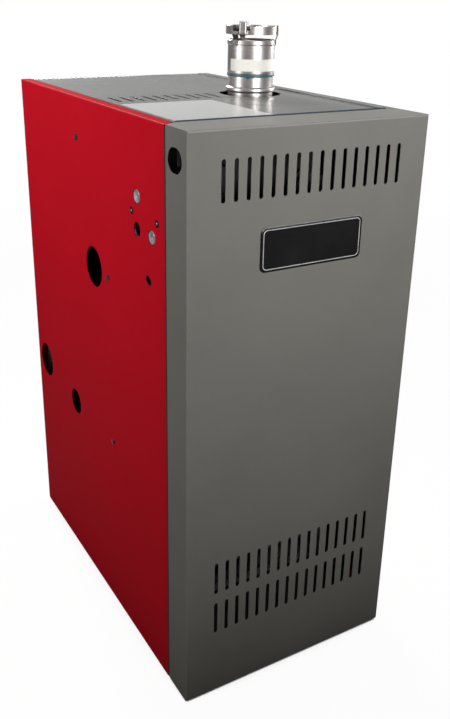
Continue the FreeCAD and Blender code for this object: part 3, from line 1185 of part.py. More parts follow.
def control_panel():
    """A folded sheet above the vestibule panel that carries the electrical controls."""
    panel = body_named("control_panel")
    outline = sketch(panel, FACE, f"{VEST} + sheet_gauge")
    side = f"({RIGHT} - control_inset)"
    rectangle(outline, f"-{side}", side, SECTION_TOP, f"{SECTION_TOP} + control_height")
    pad(panel, outline, "pan_return")
    shell(panel, lying_in(panel, "Face", "Y", f"{VEST} + sheet_gauge - pan_return"), "sheet_gauge")
    hole = sketch(panel, FACE)
    circle(hole, SWITCH_X, SWITCH_Z, "tube_hole")
    pocket(panel, hole)


def controls():
    """The ignition control, transformer and pressure switch on the control panel."""
    side = f"({RIGHT} - control_inset)"
    module = body_named("ignition_control")
    left = f"(-{side} + module_inset)"
    foot = f"({SECTION_TOP} + module_inset * 2)"
    outline = sketch(module, FACE, VEST)
    rectangle(outline, left, f"{left} + module_width", foot, f"{foot} + module_height")
    pad(module, outline, "module_depth")
    fillet(module, running_along(module, "Y"), "limit_corner")
    groove = sketch(module, FACE, f"{VEST} - module_depth")
    start, step = f"{foot} + module_height / 4", "module_height / (2 * module_rib_count)"
    rectangle(groove, f"{left} + module_inset", f"{left} + module_width - module_inset",
              start, f"{start} + {step} / 2")
    row_of(module, pocket(module, groove, "module_rib_depth"), groove, "V_Axis", "module_rib_count", step)
    x0 = f"({left} + module_width + module_inset)"
    wide, tall = f"{x0} + transformer_width", f"{foot} + transformer_height"
    core = block("transformer_core", (x0, wide), (f"{VEST} - transformer_depth * 2 / 3",
                                                  f"{VEST} - transformer_depth / 3"), (foot, tall))
    winding = block("transformer_winding", (f"{x0} + core_margin", f"{wide} - core_margin"),
                    (f"{VEST} - transformer_depth", VEST),
                    (f"{foot} + core_margin", f"{tall} - core_margin"))
    node(join("transformer", [core, winding]), "transformer")
    spot = (SWITCH_X, SWITCH_Z)
    case = rod("switch_case", "y", f"{VEST} - switch_depth", VEST, spot, "switch_radius")
    middle = f"({VEST} - switch_depth / 2)"
    rim = rod("switch_rim", "y", f"{middle} - switch_rim / 2", f"{middle} + switch_rim / 2", spot,
              "switch_radius + switch_rim")
    barb = rod("switch_barb", "y", VEST, f"{VEST} + sheet_gauge + barb_reach", spot, "barb_radius")
    node(join("pressure_switch", [case, rim, barb]), "pressure_switch")
    start = f"{VEST} + sheet_gauge + tube_gap"
    end = f"{VENT_Y} - outlet_width / 2 - tube_gap"
    outer = rod("tube_outside", "y", start, end, spot, "tube_radius")
    inner = rod("tube_bore", "y", start, end, spot, "barb_radius + running_gap")
    node(cut("pressure_tube", outer, [inner]), "pressure_tube")


def limit_control():
    """The water limit on the vestibule panel with its well to the casting and a reset button."""
    limit = body_named("limit_control")
    half = "limit_width / 2"
    outline = sketch(limit, FACE, VEST)
    rectangle(outline, f"limit_offset - {half}", f"limit_offset + {half}",
              f"{LIMIT_Z} - limit_height / 2", f"{LIMIT_Z} + limit_height / 2")
    pad(limit, outline, "limit_depth")
    fillet(limit, running_along(limit, "Y"), "limit_corner")
    well = sketch(limit, FACE, VEST)
    circle(well, "limit_offset", LIMIT_Z, "well_radius")
    pad(limit, well, f"{SECTION_FRONT} - {VEST}", flip=True)
    seat = sketch(limit, FACE, f"{VEST} - limit_depth")
    height = f"{LIMIT_Z} - limit_height / 4"
    circle(seat, "limit_offset", height, "button_radius + running_gap")
    pocket(limit, seat, "button_depth + button_travel")
    face = f"({VEST} - limit_depth)"
    button = rod("limit_reset_button", "y", f"{face} - button_reach", f"{face} + button_depth",
                 ("limit_offset", height), "button_radius")
    node(button, "limit_reset_button")


def gauge():
    """A pressure gauge: a flanged case with a stem to the casting, a dial, a needle and a glass."""
    spot = ("-gauge_offset", LIMIT_Z)
    face = f"({VEST} - gauge_depth)"
    bezel = rod("gauge_blank", "y", face, VEST, spot, "gauge_radius")
    stem = rod("gauge_stem", "y", VEST, SECTION_FRONT, spot, "well_radius")
    inner = "gauge_radius - gauge_wall"
    hollow = rod("gauge_hollow", "y", face, f"{face} + dial_depth", spot, inner)
    pivot_hole = rod("gauge_pivot_hole", "y", f"{face} + dial_depth", f"{face} + dial_depth + pivot_depth",
                     spot, "pivot_radius + running_gap")
    node(cut("gauge_case", join("gauge_shell", [bezel, stem]), [hollow, pivot_hole]), "gauge_case")
    dial_back, dial_front = f"{face} + dial_depth", f"({face} + dial_depth - dial_gauge)"
    plate = rod("dial_plate", "y", dial_front, dial_back, spot, f"{inner} - lap_gap")
    way = rod("dial_hole", "y", dial_front, dial_back, spot, "pivot_radius + lap_gap")
    node(cut("gauge_dial", plate, [way]), "gauge_dial")
    glass = rod("gauge_glass", "y", f"{face} + glass_gauge / 2", f"{face} + glass_gauge * 3 / 2", spot,
                f"{inner} - lap_gap")
    node(glass, "gauge_glass")
    needle = body_named("pressure_needle")
    level = f"({dial_front} - needle_gap)"
    blade = sketch(needle, FACE, level)
    x, z = spot
    across, along = "cos(needle_rest_angle)", "sin(needle_rest_angle)"
    tail = (f"{x} - needle_tail * {across}", f"{z} - needle_tail * {along}")
    polygon(blade, [(f"{tail[0]} - needle_width / 2 * {along}", f"{tail[1]} + needle_width / 2 * {across}"),
                    (f"{tail[0]} + needle_width / 2 * {along}", f"{tail[1]} - needle_width / 2 * {across}"),
                    (f"{x} + needle_length * {across}", f"{z} + needle_length * {along}")])
    pad(needle, blade, "needle_gauge")
    pivot = sketch(needle, FACE, f"{dial_back} + pivot_depth - lap_gap")
    circle(pivot, x, z, "pivot_radius")
    pad(needle, pivot, f"{dial_back} + pivot_depth - lap_gap - {level} + needle_gauge")


def jacket_screws():
    """Hexagon-head sheet screws in the jacket and in the junction box's ears."""
    screws = []
    shank = "screw_hole / 2 - lap_gap"
    for side, wall, sign in (("left", LEFT, "-"), ("right", RIGHT, "+")):
        for number, spot in enumerate(screw_places(), start=1):
            ends = [f"{wall} + ({sign}screw_rise)", wall, f"{wall} - ({sign}screw_rise)"]
            low, middle, high = ends if sign == "-" else reversed(ends)
            halves = [(low, middle), (middle, high)]
            outer, inner = halves if sign == "-" else reversed(halves)
            head = hexagon(f"screw_head_{side}_{number}", "x", *outer, spot, "screw_head / 2")
            stem = rod(f"screw_stem_{side}_{number}", "x", *inner, spot, shank)
            screws.append(join(f"screw_{side}_{number}", [head, stem]))
    for number, spot in enumerate(rear_screw_places(), start=1):
        head = hexagon(f"screw_head_rear_{number}", "y", BACK, f"{BACK} + screw_rise", spot,
                       "screw_head / 2")
        stem = rod(f"screw_stem_rear_{number}", "y", f"{BACK} - sheet_gauge", BACK, spot, shank)
        screws.append(join(f"screw_rear_{number}", [head, stem]))
    for number, sign in enumerate("+-", start=1):
        spot = (f"{BOX_Y} {sign} box_screw_spacing / 2", BOX_Z)
        screws.append(hexagon(f"box_screw_{number}", "x", LEFT, INNER_LEFT, spot, "box_screw_head / 2"))
    node(join("jacket_screws", screws), "jacket_screws")


base_pan()
combustion_base()
chamber_lining()
centres = [f"section_centre_{number}" for number in range(1, int(size("section_count")) - 1)]
for number, label in enumerate(["section_left_end", *centres, "section_right_end"]):
    section(label, number)
stack_hardware()
for number, x in enumerate(burner_places(), start=1):
    burner(number, x)
burner_plate()
flame_rods()
gas_manifold()
manifold_brackets()
gas_riser()
gas_valve()
gas_valve_knob()
flue_collector()
inducer_housing()
inducer_wheel()
inducer_drive()
vestibule_panel()
control_panel()
controls()
limit_control()
gauge()
junction_box()
side_panel("left_side_panel", left=True)
side_panel("right_side_panel", left=False)
top_panel()
small_jacket_pieces()
front_door()
badge_plate()
door_magnets()
jacket_screws()
vent_connector()
vent_label()
locking_band()
band_screw()
band_clips()
doc.recompute()

failed = [item.Name for item in doc.Objects if "Invalid" in item.State or "Error" in item.State]
if failed:
    raise ValueError(f"failed objects: {failed}")
for piece in nodes:
    if piece.Shape.isNull() or not piece.Shape.isValid():
        raise ValueError(f"{piece.Label} has no valid shape")
os.makedirs("parts", exist_ok=True)
for piece in nodes:
    piece.Shape.exportStep(f"parts/{piece.Label}.step")
    print(piece.Label, len(piece.Shape.Solids), round(piece.Shape.Volume))
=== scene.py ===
import math

import bmesh
import bpy
import mathutils
import numpy as np
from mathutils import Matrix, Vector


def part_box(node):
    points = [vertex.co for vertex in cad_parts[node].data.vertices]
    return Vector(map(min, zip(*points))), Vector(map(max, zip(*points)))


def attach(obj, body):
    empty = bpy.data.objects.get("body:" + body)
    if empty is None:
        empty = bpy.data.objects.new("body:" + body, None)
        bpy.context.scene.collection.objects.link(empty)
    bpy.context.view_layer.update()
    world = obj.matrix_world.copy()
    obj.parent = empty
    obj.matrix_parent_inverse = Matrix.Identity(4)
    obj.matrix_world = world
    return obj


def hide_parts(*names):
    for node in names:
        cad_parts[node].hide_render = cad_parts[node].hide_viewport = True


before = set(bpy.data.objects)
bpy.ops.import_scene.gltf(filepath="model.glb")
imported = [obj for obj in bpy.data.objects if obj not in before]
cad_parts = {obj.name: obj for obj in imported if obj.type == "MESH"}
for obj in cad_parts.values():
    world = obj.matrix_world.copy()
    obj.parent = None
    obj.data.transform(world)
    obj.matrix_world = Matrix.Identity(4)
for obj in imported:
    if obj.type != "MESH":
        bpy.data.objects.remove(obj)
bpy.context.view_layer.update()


# Base pan: an upside-down tray of galvanised sheet steel, folded at its edges and welded at its corners.
# It carries the combustion chamber and the stack of sections, and its skirt stands on the floor.
def node(tree, kind, inputs, **settings):
    """A node with its settings; an input is linked if it comes from another node, and else set."""
    made = tree.nodes.new(kind)
    for word, value in settings.items():
        setattr(made, word, value)
    for word, value in inputs.items():
        socket = made.inputs[word]
        if isinstance(value, bpy.types.NodeSocket):
            tree.links.new(value, socket)
        elif socket.type == "RGBA":
            socket.default_value = (*value, 1)
        else:
            socket.default_value = value
    return made


class Finish:
    """A surface finish being mixed: each call adds one ingredient and hands on what it gives."""

    def __init__(self, name, **constants):
        self.material = bpy.data.materials.new(name)
        self.material.use_nodes = True
        self.tree = self.material.node_tree
        self.shader = self.tree.nodes["Principled BSDF"]
        for word, value in constants.items():
            title = word.replace("_", " ").title().replace("Ior", "IOR")
            self.shader.inputs[title].default_value = value
        self.place = self.add("ShaderNodeTexCoord", {}).outputs["Object"]

    def add(self, kind, inputs, **settings):
        return node(self.tree, kind, inputs, **settings)

    def give(self, word, value):
        """Hand a result on to the shader."""
        self.tree.links.new(value, self.shader.inputs[word])

    def along(self, axis, vector=None):
        """How far a place on the piece, or another vector, reaches along an axis."""
        return self.add("ShaderNodeSeparateXYZ", {"Vector": vector or self.place}).outputs[axis]

    def stretched(self, x, y, z):
        """Places on the piece, drawn out or squeezed along its axes."""
        return self.add("ShaderNodeMapping", {"Vector": self.place, "Scale": (x, y, z)}).outputs["Vector"]

    def grain(self, per_metre, detail=3.0, rough=0.55, at=None):
        """Cloudy noise with about that many grains to the metre."""
        inputs = {"Vector": at or self.place, "Scale": per_metre, "Detail": detail, "Roughness": rough}
        return self.add("ShaderNodeTexNoise", inputs).outputs["Fac"]

    def spread(self, value, low, high, first=0.3, last=0.7):
        """A value between first and last, turned into one between low and high."""
        inputs = {"Value": value, "From Min": first, "From Max": last, "To Min": low, "To Max": high}
        return self.add("ShaderNodeMapRange", inputs).outputs["Result"]

    def sum_of(self, one, two, kind="ADD"):
        return self.add("ShaderNodeMath", {0: one, 1: two}, operation=kind).outputs["Value"]

    def match(self, one, two):
        """How well two directions agree: one when they are the same, nought when they are square."""
        made = self.add("ShaderNodeVectorMath", {0: one, 1: two}, operation="DOT_PRODUCT")
        return made.outputs["Value"]

    def tones(self, value, *stops):
        """Colours along a ramp, from pairs of a position and a colour."""
        made = self.add("ShaderNodeValToRGB", {"Fac": value})
        elements = made.color_ramp.elements
        while len(elements) < len(stops):
            elements.new(0.5)
        for element, (spot, colour) in zip(elements, stops):
            element.position = spot
            element.color = (*colour, 1)
        return made.outputs["Color"]

    def between(self, value, dark, pale):
        """Two tones that a grain runs between."""
        return self.tones(value, (0.3, dark), (0.7, pale))

    def layered(self, amount, under, over):
        """One colour laid over another by an amount from nought to one."""
        return self.add("ShaderNodeMix", {0: amount, 6: under, 7: over}, data_type="RGBA").outputs[2]

    def raised(self, height, depth, under=None):
        """A relief of that depth in metres, over another relief."""
        inputs = {"Height": height, "Distance": depth, "Strength": 1.0}
        if under is not None:
            inputs["Normal"] = under
        return self.add("ShaderNodeBump", inputs).outputs["Normal"]

    def rounded(self, radius):
        """The direction of a surface whose edges are rounded to a radius."""
        return self.add("ShaderNodeBevel", {"Radius": radius}, samples=4).outputs["Normal"]

    def edges(self, rounded):
        """How near an edge a place is, by how far the rounded direction leaves the flat one."""
        flat = self.add("ShaderNodeNewGeometry", {}).outputs["Normal"]
        return self.spread(self.match(rounded, flat), 1.0, 0.0, 0.75, 0.99)

    def rubbed(self, rounded, share, under, over):
        """A colour with up to a share of another laid over it along the edges."""
        return self.layered(self.spread(self.edges(rounded), 0.0, share, 0, 1), under, over)


def dress(finish, *names):
    """Give CAD nodes a finish."""
    for name in names:
        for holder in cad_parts[name].material_slots:
            holder.material = finish.material


def zinc_sheet(name, pale, dark, gloss):
    """Hot-dipped zinc: small crystals of different brightness, dulled in patches."""
    zinc = Finish(name, metallic=1.0)
    cells = zinc.add("ShaderNodeTexVoronoi", {"Vector": zinc.place, "Scale": 230}).outputs["Color"]
    crystal = zinc.add("ShaderNodeSeparateColor", {"Color": cells}).outputs["Red"]
    cloud = zinc.grain(9, detail=5)
    bright = zinc.sum_of(zinc.spread(crystal, 0.25, 0.6, 0, 1), zinc.spread(cloud, 0, 0.22))
    rounded = zinc.rounded(0.0008)
    zinc.give("Base Color", zinc.rubbed(rounded, 0.5, zinc.tones(bright, (0.2, dark), (0.9, pale)), pale))
    dull = zinc.spread(cloud, 0.0, 0.06)
    zinc.give("Roughness", zinc.sum_of(zinc.spread(crystal, gloss, gloss + 0.12, 0, 1), dull))
    zinc.give("Normal", zinc.raised(zinc.grain(420), 0.00012, rounded))
    return zinc


dull_zinc = zinc_sheet("dull_zinc", (0.17, 0.172, 0.175), (0.09, 0.092, 0.096), 0.5)
dress(dull_zinc, "base_pan")


# Combustion chamber: a box of aluminised steel on the base pan, lined on three sides with ceramic fibre
# board that is cut to size and pushed in. The sections stand on the ledge round its top.
def rolled_sheet(name, pale, dark, gloss, drawn=(6, 6, 260), tint=None):
    """Sheet with fine lines from the mill's rolls, dull in patches, with a heat tint on request."""
    steel = Finish(name, metallic=1.0)
    line = steel.grain(7, detail=6, at=steel.stretched(*drawn))
    cloud = steel.grain(6, detail=4)
    bright = steel.sum_of(steel.spread(line, 0, 0.5), steel.spread(cloud, 0, 0.5))
    colour = steel.tones(bright, (0.1, dark), (0.9, pale))
    if tint:
        heat = steel.spread(steel.grain(14, detail=5), 0.0, 0.7, 0.5, 0.72)
        colour = steel.layered(heat, colour, tint)
    rounded = steel.rounded(0.0007)
    steel.give("Base Color", steel.rubbed(rounded, 0.45, colour, pale))
    dull = steel.spread(cloud, 0.0, 0.12)
    steel.give("Roughness", steel.sum_of(steel.spread(line, gloss, gloss + 0.08), dull))
    steel.give("Normal", steel.raised(line, 0.00004, rounded))
    return steel


aluminised = rolled_sheet("aluminised_sheet", (0.60, 0.60, 0.59), (0.40, 0.40, 0.40), 0.36)
dress(aluminised, "combustion_base")

fibre = Finish("fibre_board", roughness=0.95, specular_ior_level=0.15)
tuft = fibre.grain(160, detail=6, at=fibre.stretched(1, 1, 2.4))
fibre.give("Base Color", fibre.between(tuft, (0.58, 0.54, 0.47), (0.80, 0.77, 0.70)))
fibre.give("Normal", fibre.raised(tuft, 0.0008))
dress(fibre, "chamber_lining")


# Sections: grey iron castings from sand moulds, left as cast apart from their machined faces. Steel push
# nipples join them, and four zinc-plated rods with nuts draw the stack tight.
iron = Finish("grey_iron_casting", metallic=0.25)
sand = iron.grain(520, detail=5, rough=0.65)
rust = iron.spread(iron.grain(11, detail=7, rough=0.62), 0.0, 0.75, 0.48, 0.70)
rounded = iron.rounded(0.002)
bare = iron.between(sand, (0.10, 0.092, 0.083), (0.20, 0.185, 0.168))
bare = iron.rubbed(rounded, 0.4, bare, (0.27, 0.255, 0.24))
iron.give("Base Color", iron.layered(rust, bare, (0.23, 0.105, 0.055)))
iron.give("Roughness", iron.spread(sand, 0.62, 0.85))
lump = iron.raised(iron.grain(38, detail=4), 0.0015, rounded)
iron.give("Normal", iron.raised(sand, 0.0006, lump))
dress(iron, "section_left_end", "section_centre_1", "section_centre_2", "section_right_end")


def plating(name, metallic, per_metre, detail, pale, dark, bright, gloss):
    """Plated or oiled steel: a film in two tones over fine pits, bright along its edges."""
    plate = Finish(name, metallic=metallic)
    layer = plate.grain(per_metre, detail=detail)
    rounded = plate.rounded(0.0004)
    plate.give("Base Color", plate.rubbed(rounded, 0.5, plate.between(layer, dark, pale), bright))
    plate.give("Roughness", plate.spread(layer, gloss, gloss + 0.16))
    plate.give("Normal", plate.raised(plate.grain(900), 0.00006, rounded))
    return plate


plated = plating("zinc_plate", 1.0, 30, 5, (0.60, 0.60, 0.56), (0.42, 0.42, 0.40),
                 (0.72, 0.72, 0.70), 0.26)
dress(plated, "tie_rods", "tie_rod_nuts")

mill_scale = Finish("black_steel", metallic=0.6)
scale = mill_scale.grain(80, detail=6)
rounded = mill_scale.rounded(0.0008)
black = mill_scale.between(scale, (0.022, 0.022, 0.024), (0.06, 0.058, 0.056))
mill_scale.give("Base Color", mill_scale.rubbed(rounded, 0.35, black, (0.20, 0.19, 0.18)))
mill_scale.give("Roughness", mill_scale.spread(scale, 0.40, 0.62))
mill_scale.give("Normal", mill_scale.raised(scale, 0.00025, rounded))
dress(mill_scale, "push_nipples")


# Burners: rolled stainless tubes with a venturi mouth and rows of flame ports, pushed through a screwed
# cover plate. The plate also carries the sight glass in its pressed bezel, and the ceramic holders of the
# igniter and the flame sensor with their brass terminals.
burner_steel = rolled_sheet("burner_steel", (0.58, 0.56, 0.53), (0.36, 0.35, 0.34), 0.28,
                            drawn=(260, 5, 5), tint=(0.36, 0.27, 0.30))
dress(burner_steel, "burner_1", "burner_2", "burner_3")
dress(aluminised, "burner_plate")

MM = 0.001
AROUND = np.linspace(0, 2 * np.pi, 24, endpoint=False)
CIRCLE = np.stack([np.cos(AROUND), np.sin(AROUND)], -1)
HEXAGON = CIRCLE * (math.cos(np.pi / 6) / np.cos(AROUND % (np.pi / 3) - np.pi / 6))[:, None]
SQUARE = CIRCLE / np.abs(CIRCLE).max(1, keepdims=True)
SHARP_ANGLE = 35


def finished(mesh, finish, body):
    """Turn a mesh's faces outwards, smooth it between its sharp edges and give it to a body."""
    work = bmesh.new()
    work.from_mesh(mesh)
    bmesh.ops.recalc_face_normals(work, faces=work.faces)
    work.to_mesh(mesh)
    work.free()
    mesh.polygons.foreach_set("use_smooth", np.ones(len(mesh.polygons), bool))
    mesh.set_sharp_from_angle(angle=math.radians(SHARP_ANGLE))
    mesh.materials.append(finish.material)
    piece = bpy.data.objects.new(mesh.name, mesh)
    bpy.context.scene.collection.objects.link(piece)
    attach(piece, body)
    return piece


def surface(name, points, finish, body, ends_meet=False):
    """A new piece from grids of points, each of them round along its first direction: neighbours make
    four-sided faces. The second direction's ends meet in a ring, or else one flat face closes each."""
    grids = points.reshape(-1, *points.shape[-3:])
    number = np.arange(grids.size // 3).reshape(grids.shape[:3])
    low = number if ends_meet else number[:, :, :-1]
    high = np.roll(number, -1, 2) if ends_meet else number[:, :, 1:]
    faces = np.stack([low, np.roll(low, -1, 1), np.roll(high, -1, 1), high], -1).reshape(-1, 4).tolist()
    if not ends_meet:
        faces += number[:, ::-1, 0].tolist() + number[:, :, -1].tolist()
    mesh = bpy.data.meshes.new(name)
    mesh.from_pydata(grids.reshape(-1, 3).tolist(), [], faces)
    return finished(mesh, finish, body)


def carried(outline, *stations):
    """An outline carried outwards: each station scales it across and upwards, at a level. All of it is in
    millimetres."""
    across, upwards, level = np.array(stations).T * MM
    return np.stack([outline[:, :1] * across, outline[:, 1:] * upwards,
                     np.broadcast_to(level, (len(outline), len(level)))], -1)


def ring(*section, reach=(0, 0)):
    """A section of radius and level turned round the outward direction. With a reach it goes round a
    slot: each half turn is about an end of the slot, at that reach from the middle. In millimetres."""
    radius, level = np.array(section).T * MM
    ends = np.sign(CIRCLE @ np.array(reach, float))[:, None] * np.array(reach) * MM
    return np.stack([CIRCLE[:, :1] * radius + ends[:, :1], CIRCLE[:, 1:] * radius + ends[:, 1:],
                     np.broadcast_to(level, (len(CIRCLE), len(level)))], -1)


FORWARD = ((1, 0, 0), (0, 0, 1), (0, -1, 0))


def set_on(shape, places, way=FORWARD):
    """Copies of a shape at places: its across, upward and outward directions turn into the way's."""
    return np.asarray(places, float)[:, None, None, :] + shape @ np.array(way, float)


def at_face(level, spots):
    """Places on a face that looks forward, from x and z in millimetres and the face's y."""
    return [(x * MM, level, z * MM) for x, z in spots]


def both_sides(x, levels):
    """Spots at some levels, first to the left of the middle and then to the right."""
    return [(side * x, z) for side in (-1, 1) for z in levels]


WASHER = carried(CIRCLE, (5.2, 5.2, 0), (5.2, 5.2, 0.6), (4.5, 4.5, 1.0))
HEAD = carried(HEXAGON, (4.0, 4.0, 0.8), (4.0, 4.0, 3.6), (3.4, 3.4, 4.1))


def sheet_screws(name, places):
    """Hexagon sheet screws with a washer rolled on: a flat cone, and a hexagon with a bevelled top."""
    points = np.concatenate([set_on(WASHER, places), set_on(HEAD, places)])
    surface(name, points, plated, "boiler")


PLATE_INSET = 6
plate_low, plate_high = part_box("burner_plate")
rim_x = plate_high.x / MM - PLATE_INSET
rim_z = (plate_low.z / MM + PLATE_INSET, plate_high.z / MM - PLATE_INSET)
screw_rows = [(x, z) for z in rim_z for x in (-rim_x, -rim_x / 3, rim_x / 3, rim_x)]
screw_columns = both_sides(rim_x, np.linspace(*rim_z, 4)[1:3])
sheet_screws("plate_screws", at_face(plate_low.y, screw_rows + screw_columns))

mica = Finish("sight_glass", roughness=0.06, transmission_weight=1.0, ior=1.5)
mica.give("Base Color", mica.between(mica.grain(60, detail=4), (0.78, 0.74, 0.62), (0.90, 0.90, 0.86)))
dress(mica, "sight_glass")
sight_low, sight_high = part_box("sight_glass")
sight_mid = (sight_low + sight_high) / 2
BEZEL = ring((21.5, 0), (21.5, 4.6), (20.3, 6.0), (15.6, 6.0), (15.0, 5.6), (15.0, 5.1), (18.3, 5.1),
             (18.3, 0))
surface("sight_bezel", set_on(BEZEL, [(sight_mid.x, sight_high.y, sight_mid.z)]), aluminised, "boiler",
        ends_meet=True)

HOLDER_DEPTH, HOLDER_FADE = 0.010, 0.0002
rod_start = plate_low.y + HOLDER_DEPTH
steatite = Finish("steatite", roughness=0.45)
rod_zone = steatite.spread(steatite.along("Y"), 0.0, 1.0, rod_start, rod_start + HOLDER_FADE)
clay = steatite.between(steatite.grain(240, detail=4), (0.66, 0.62, 0.54), (0.80, 0.77, 0.70))
steatite.give("Base Color", steatite.layered(rod_zone, clay, (0.30, 0.28, 0.27)))
steatite.give("Metallic", rod_zone)
steatite.give("Normal", steatite.raised(steatite.grain(600), 0.0001, steatite.rounded(0.0006)))
dress(steatite, "igniter", "flame_sensor")

brass = Finish("turned_brass", metallic=1.0)
turning = brass.grain(12, detail=4, at=brass.stretched(2, 160, 2))
brass.give("Base Color", brass.between(turning, (0.50, 0.34, 0.12), (0.72, 0.53, 0.23)))
brass.give("Roughness", brass.spread(turning, 0.24, 0.40))
brass.give("Normal", brass.raised(turning, 0.00006, brass.rounded(0.0004)))
TAB = carried(SQUARE, (3.15, 0.4, -0.5), (3.15, 0.4, 6.2), (2.1, 0.3, 7.8))


def tabs(name, places, way=FORWARD):
    """Push-on terminals: a flat blade with its end narrowed and thinned."""
    surface(name, set_on(TAB, places, way), brass, "boiler")


sensor_low, sensor_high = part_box("flame_sensor")
rod_x = (sensor_low.x + sensor_high.x) / 2 / MM
rod_z = (sensor_low.z + sensor_high.z) / 2 / MM
tabs("flame_rod_tabs", at_face(sensor_low.y, [(-rod_x, rod_z), (rod_x, rod_z)]))


# Gas train: a capped black steel manifold with brass orifices, held by sheet brackets, a riser with an
# elbow, and a die-cast valve with its coil housing, regulator cap and a moulded plastic knob. The knob's
# line points to the left when it is off and downwards when it is on.
galvanised = zinc_sheet("galvanised_sheet", (0.66, 0.67, 0.68), (0.42, 0.43, 0.45), 0.36)
dress(mill_scale, "gas_manifold", "gas_riser")
dress(brass, "burner_orifices")
dress(galvanised, "manifold_brackets")

COIL_TAB_X, VALVE_TOP, VALVE_SCREW_X, VALVE_INSET = (15.0, 27.0), 261.0, (8.0, 32.0), 7
die_cast = Finish("die_cast_body")
skin = die_cast.grain(700, detail=3)
coil_zone = die_cast.spread(die_cast.along("Z"), 0.0, 1.0, (VALVE_TOP + 0.2) * MM, (VALVE_TOP + 0.6) * MM)
cast_tone = die_cast.between(die_cast.grain(40, detail=5), (0.40, 0.41, 0.42), (0.56, 0.57, 0.58))
rounded = die_cast.rounded(0.0012)
cast_tone = die_cast.rubbed(rounded, 0.5, cast_tone, (0.70, 0.71, 0.72))
die_cast.give("Base Color", die_cast.layered(coil_zone, cast_tone, (0.035, 0.036, 0.04)))
die_cast.give("Metallic", die_cast.spread(coil_zone, 0.9, 0.0, 0, 1))
die_cast.give("Roughness", die_cast.spread(skin, 0.38, 0.55))
die_cast.give("Normal", die_cast.raised(skin, 0.00012, rounded))
dress(die_cast, "gas_valve")


def moulding(name, pale, dark, gloss, texture=0.00012, shine=0.45):
    """Moulded plastic with a fine spark-eroded texture, slightly paler along its edges."""
    plastic = Finish(name, specular_ior_level=shine)
    spark = plastic.grain(1100, detail=2)
    handling = plastic.grain(24, detail=5)
    rounded = plastic.rounded(0.0008)
    colour = plastic.between(handling, dark, pale)
    edge_tone = tuple(min(1.0, tone * 1.6) for tone in pale)
    plastic.give("Base Color", plastic.rubbed(rounded, 0.3, colour, edge_tone))
    dull = plastic.spread(handling, 0.0, 0.1)
    plastic.give("Roughness", plastic.sum_of(plastic.spread(spark, gloss, gloss + 0.08), dull))
    plastic.give("Normal", plastic.raised(spark, texture, rounded))
    return plastic


black_moulding = moulding("black_moulding", (0.040, 0.041, 0.044), (0.024, 0.025, 0.027), 0.42)
dress(black_moulding, "gas_valve_knob")

UPWARD = ((1, 0, 0), (0, 1, 0), (0, 0, 1))
valve_low, valve_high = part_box("gas_valve")
knob_low, knob_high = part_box("gas_valve_knob")
knob_mid = (knob_low + knob_high) / 2
valve_rows = (valve_low.z / MM + VALVE_INSET, VALVE_TOP - VALVE_INSET)
sheet_screws("valve_screws", at_face(valve_low.y, [(x, z) for x in VALVE_SCREW_X for z in valve_rows]))
valve_y = (valve_low.y + valve_high.y) / 2
tabs("coil_tabs", [(x * MM, valve_y, valve_high.z) for x in COIL_TAB_X], UPWARD)
white_fill = moulding("white_fill", (0.66, 0.66, 0.64), (0.58, 0.58, 0.56), 0.4, 0.00003)
KNOB_LINE_INSET = 0.0085
KNOB_LINE = carried(SQUARE, (5.2, 0.55, -0.2), (5.2, 0.55, 0.08))
knob_line_spot = (knob_low.x + KNOB_LINE_INSET, knob_low.y, knob_mid.z)
surface("knob_line", set_on(KNOB_LINE, [knob_line_spot]), white_fill, "valve_knob")


def words(name, finish, slot, *lines):
    """Raised words that look forward: each is a text of a height in millimetres, centred on its place."""
    points, faces = [], []
    for line, height, place in lines:
        letters = bpy.data.curves.new(name, "FONT")
        letters.body, letters.size, letters.extrude = line, height * MM, 0.00005
        letters.align_x, letters.align_y = "CENTER", "CENTER"
        holder = bpy.data.objects.new(name, letters)
        mesh = bpy.data.meshes.new_from_object(holder)
        count = sum(len(part) for part in points)
        flat = np.empty(len(mesh.vertices) * 3)
        mesh.vertices.foreach_get("co", flat)
        points.append(flat.reshape(-1, 3) @ np.array(FORWARD, float) + np.array(place))
        faces += [[count + corner for corner in face.vertices] for face in mesh.polygons]
        bpy.data.objects.remove(holder)
        bpy.data.meshes.remove(mesh)
    made = bpy.data.meshes.new(name)
    made.from_pydata(np.concatenate(points).tolist(), [], faces)
    finished(made, finish, "boiler")


WORD_HEIGHT, OFF_GAP, ON_GAP = 4.4, 0.0055, 0.0045
words("valve_words", black_moulding, "black_plastic",
      ("OFF", WORD_HEIGHT, (knob_low.x - OFF_GAP, valve_low.y, knob_mid.z)),
      ("ON", WORD_HEIGHT, (knob_mid.x, valve_low.y, knob_low.z - ON_GAP)))


# Flue side: an aluminised hood over the sections, the inducer's scroll casing with its bladed wheel,
# and the fan motor, which stands on the casing with its shaft down through it.
hood_steel = rolled_sheet("hood_steel", (0.56, 0.56, 0.55), (0.36, 0.36, 0.36), 0.40, drawn=(6, 240, 6))
dress(hood_steel, "flue_collector", "inducer_housing", "inducer_wheel")
dress(plated, "inducer_shaft")

motor_enamel = Finish("motor_enamel", specular_ior_level=0.25)
dust = motor_enamel.spread(motor_enamel.grain(26, detail=6), 0.0, 0.3, 0.45, 0.75)
rounded = motor_enamel.rounded(0.001)
black = motor_enamel.rubbed(rounded, 0.3, (0.022, 0.022, 0.024), (0.09, 0.09, 0.09))
motor_enamel.give("Base Color", motor_enamel.layered(dust, black, (0.075, 0.070, 0.062)))
motor_enamel.give("Roughness", motor_enamel.spread(dust, 0.34, 0.62, 0, 0.5))
motor_enamel.give("Normal", motor_enamel.raised(motor_enamel.grain(800), 0.0001, rounded))
dress(motor_enamel, "inducer_motor")


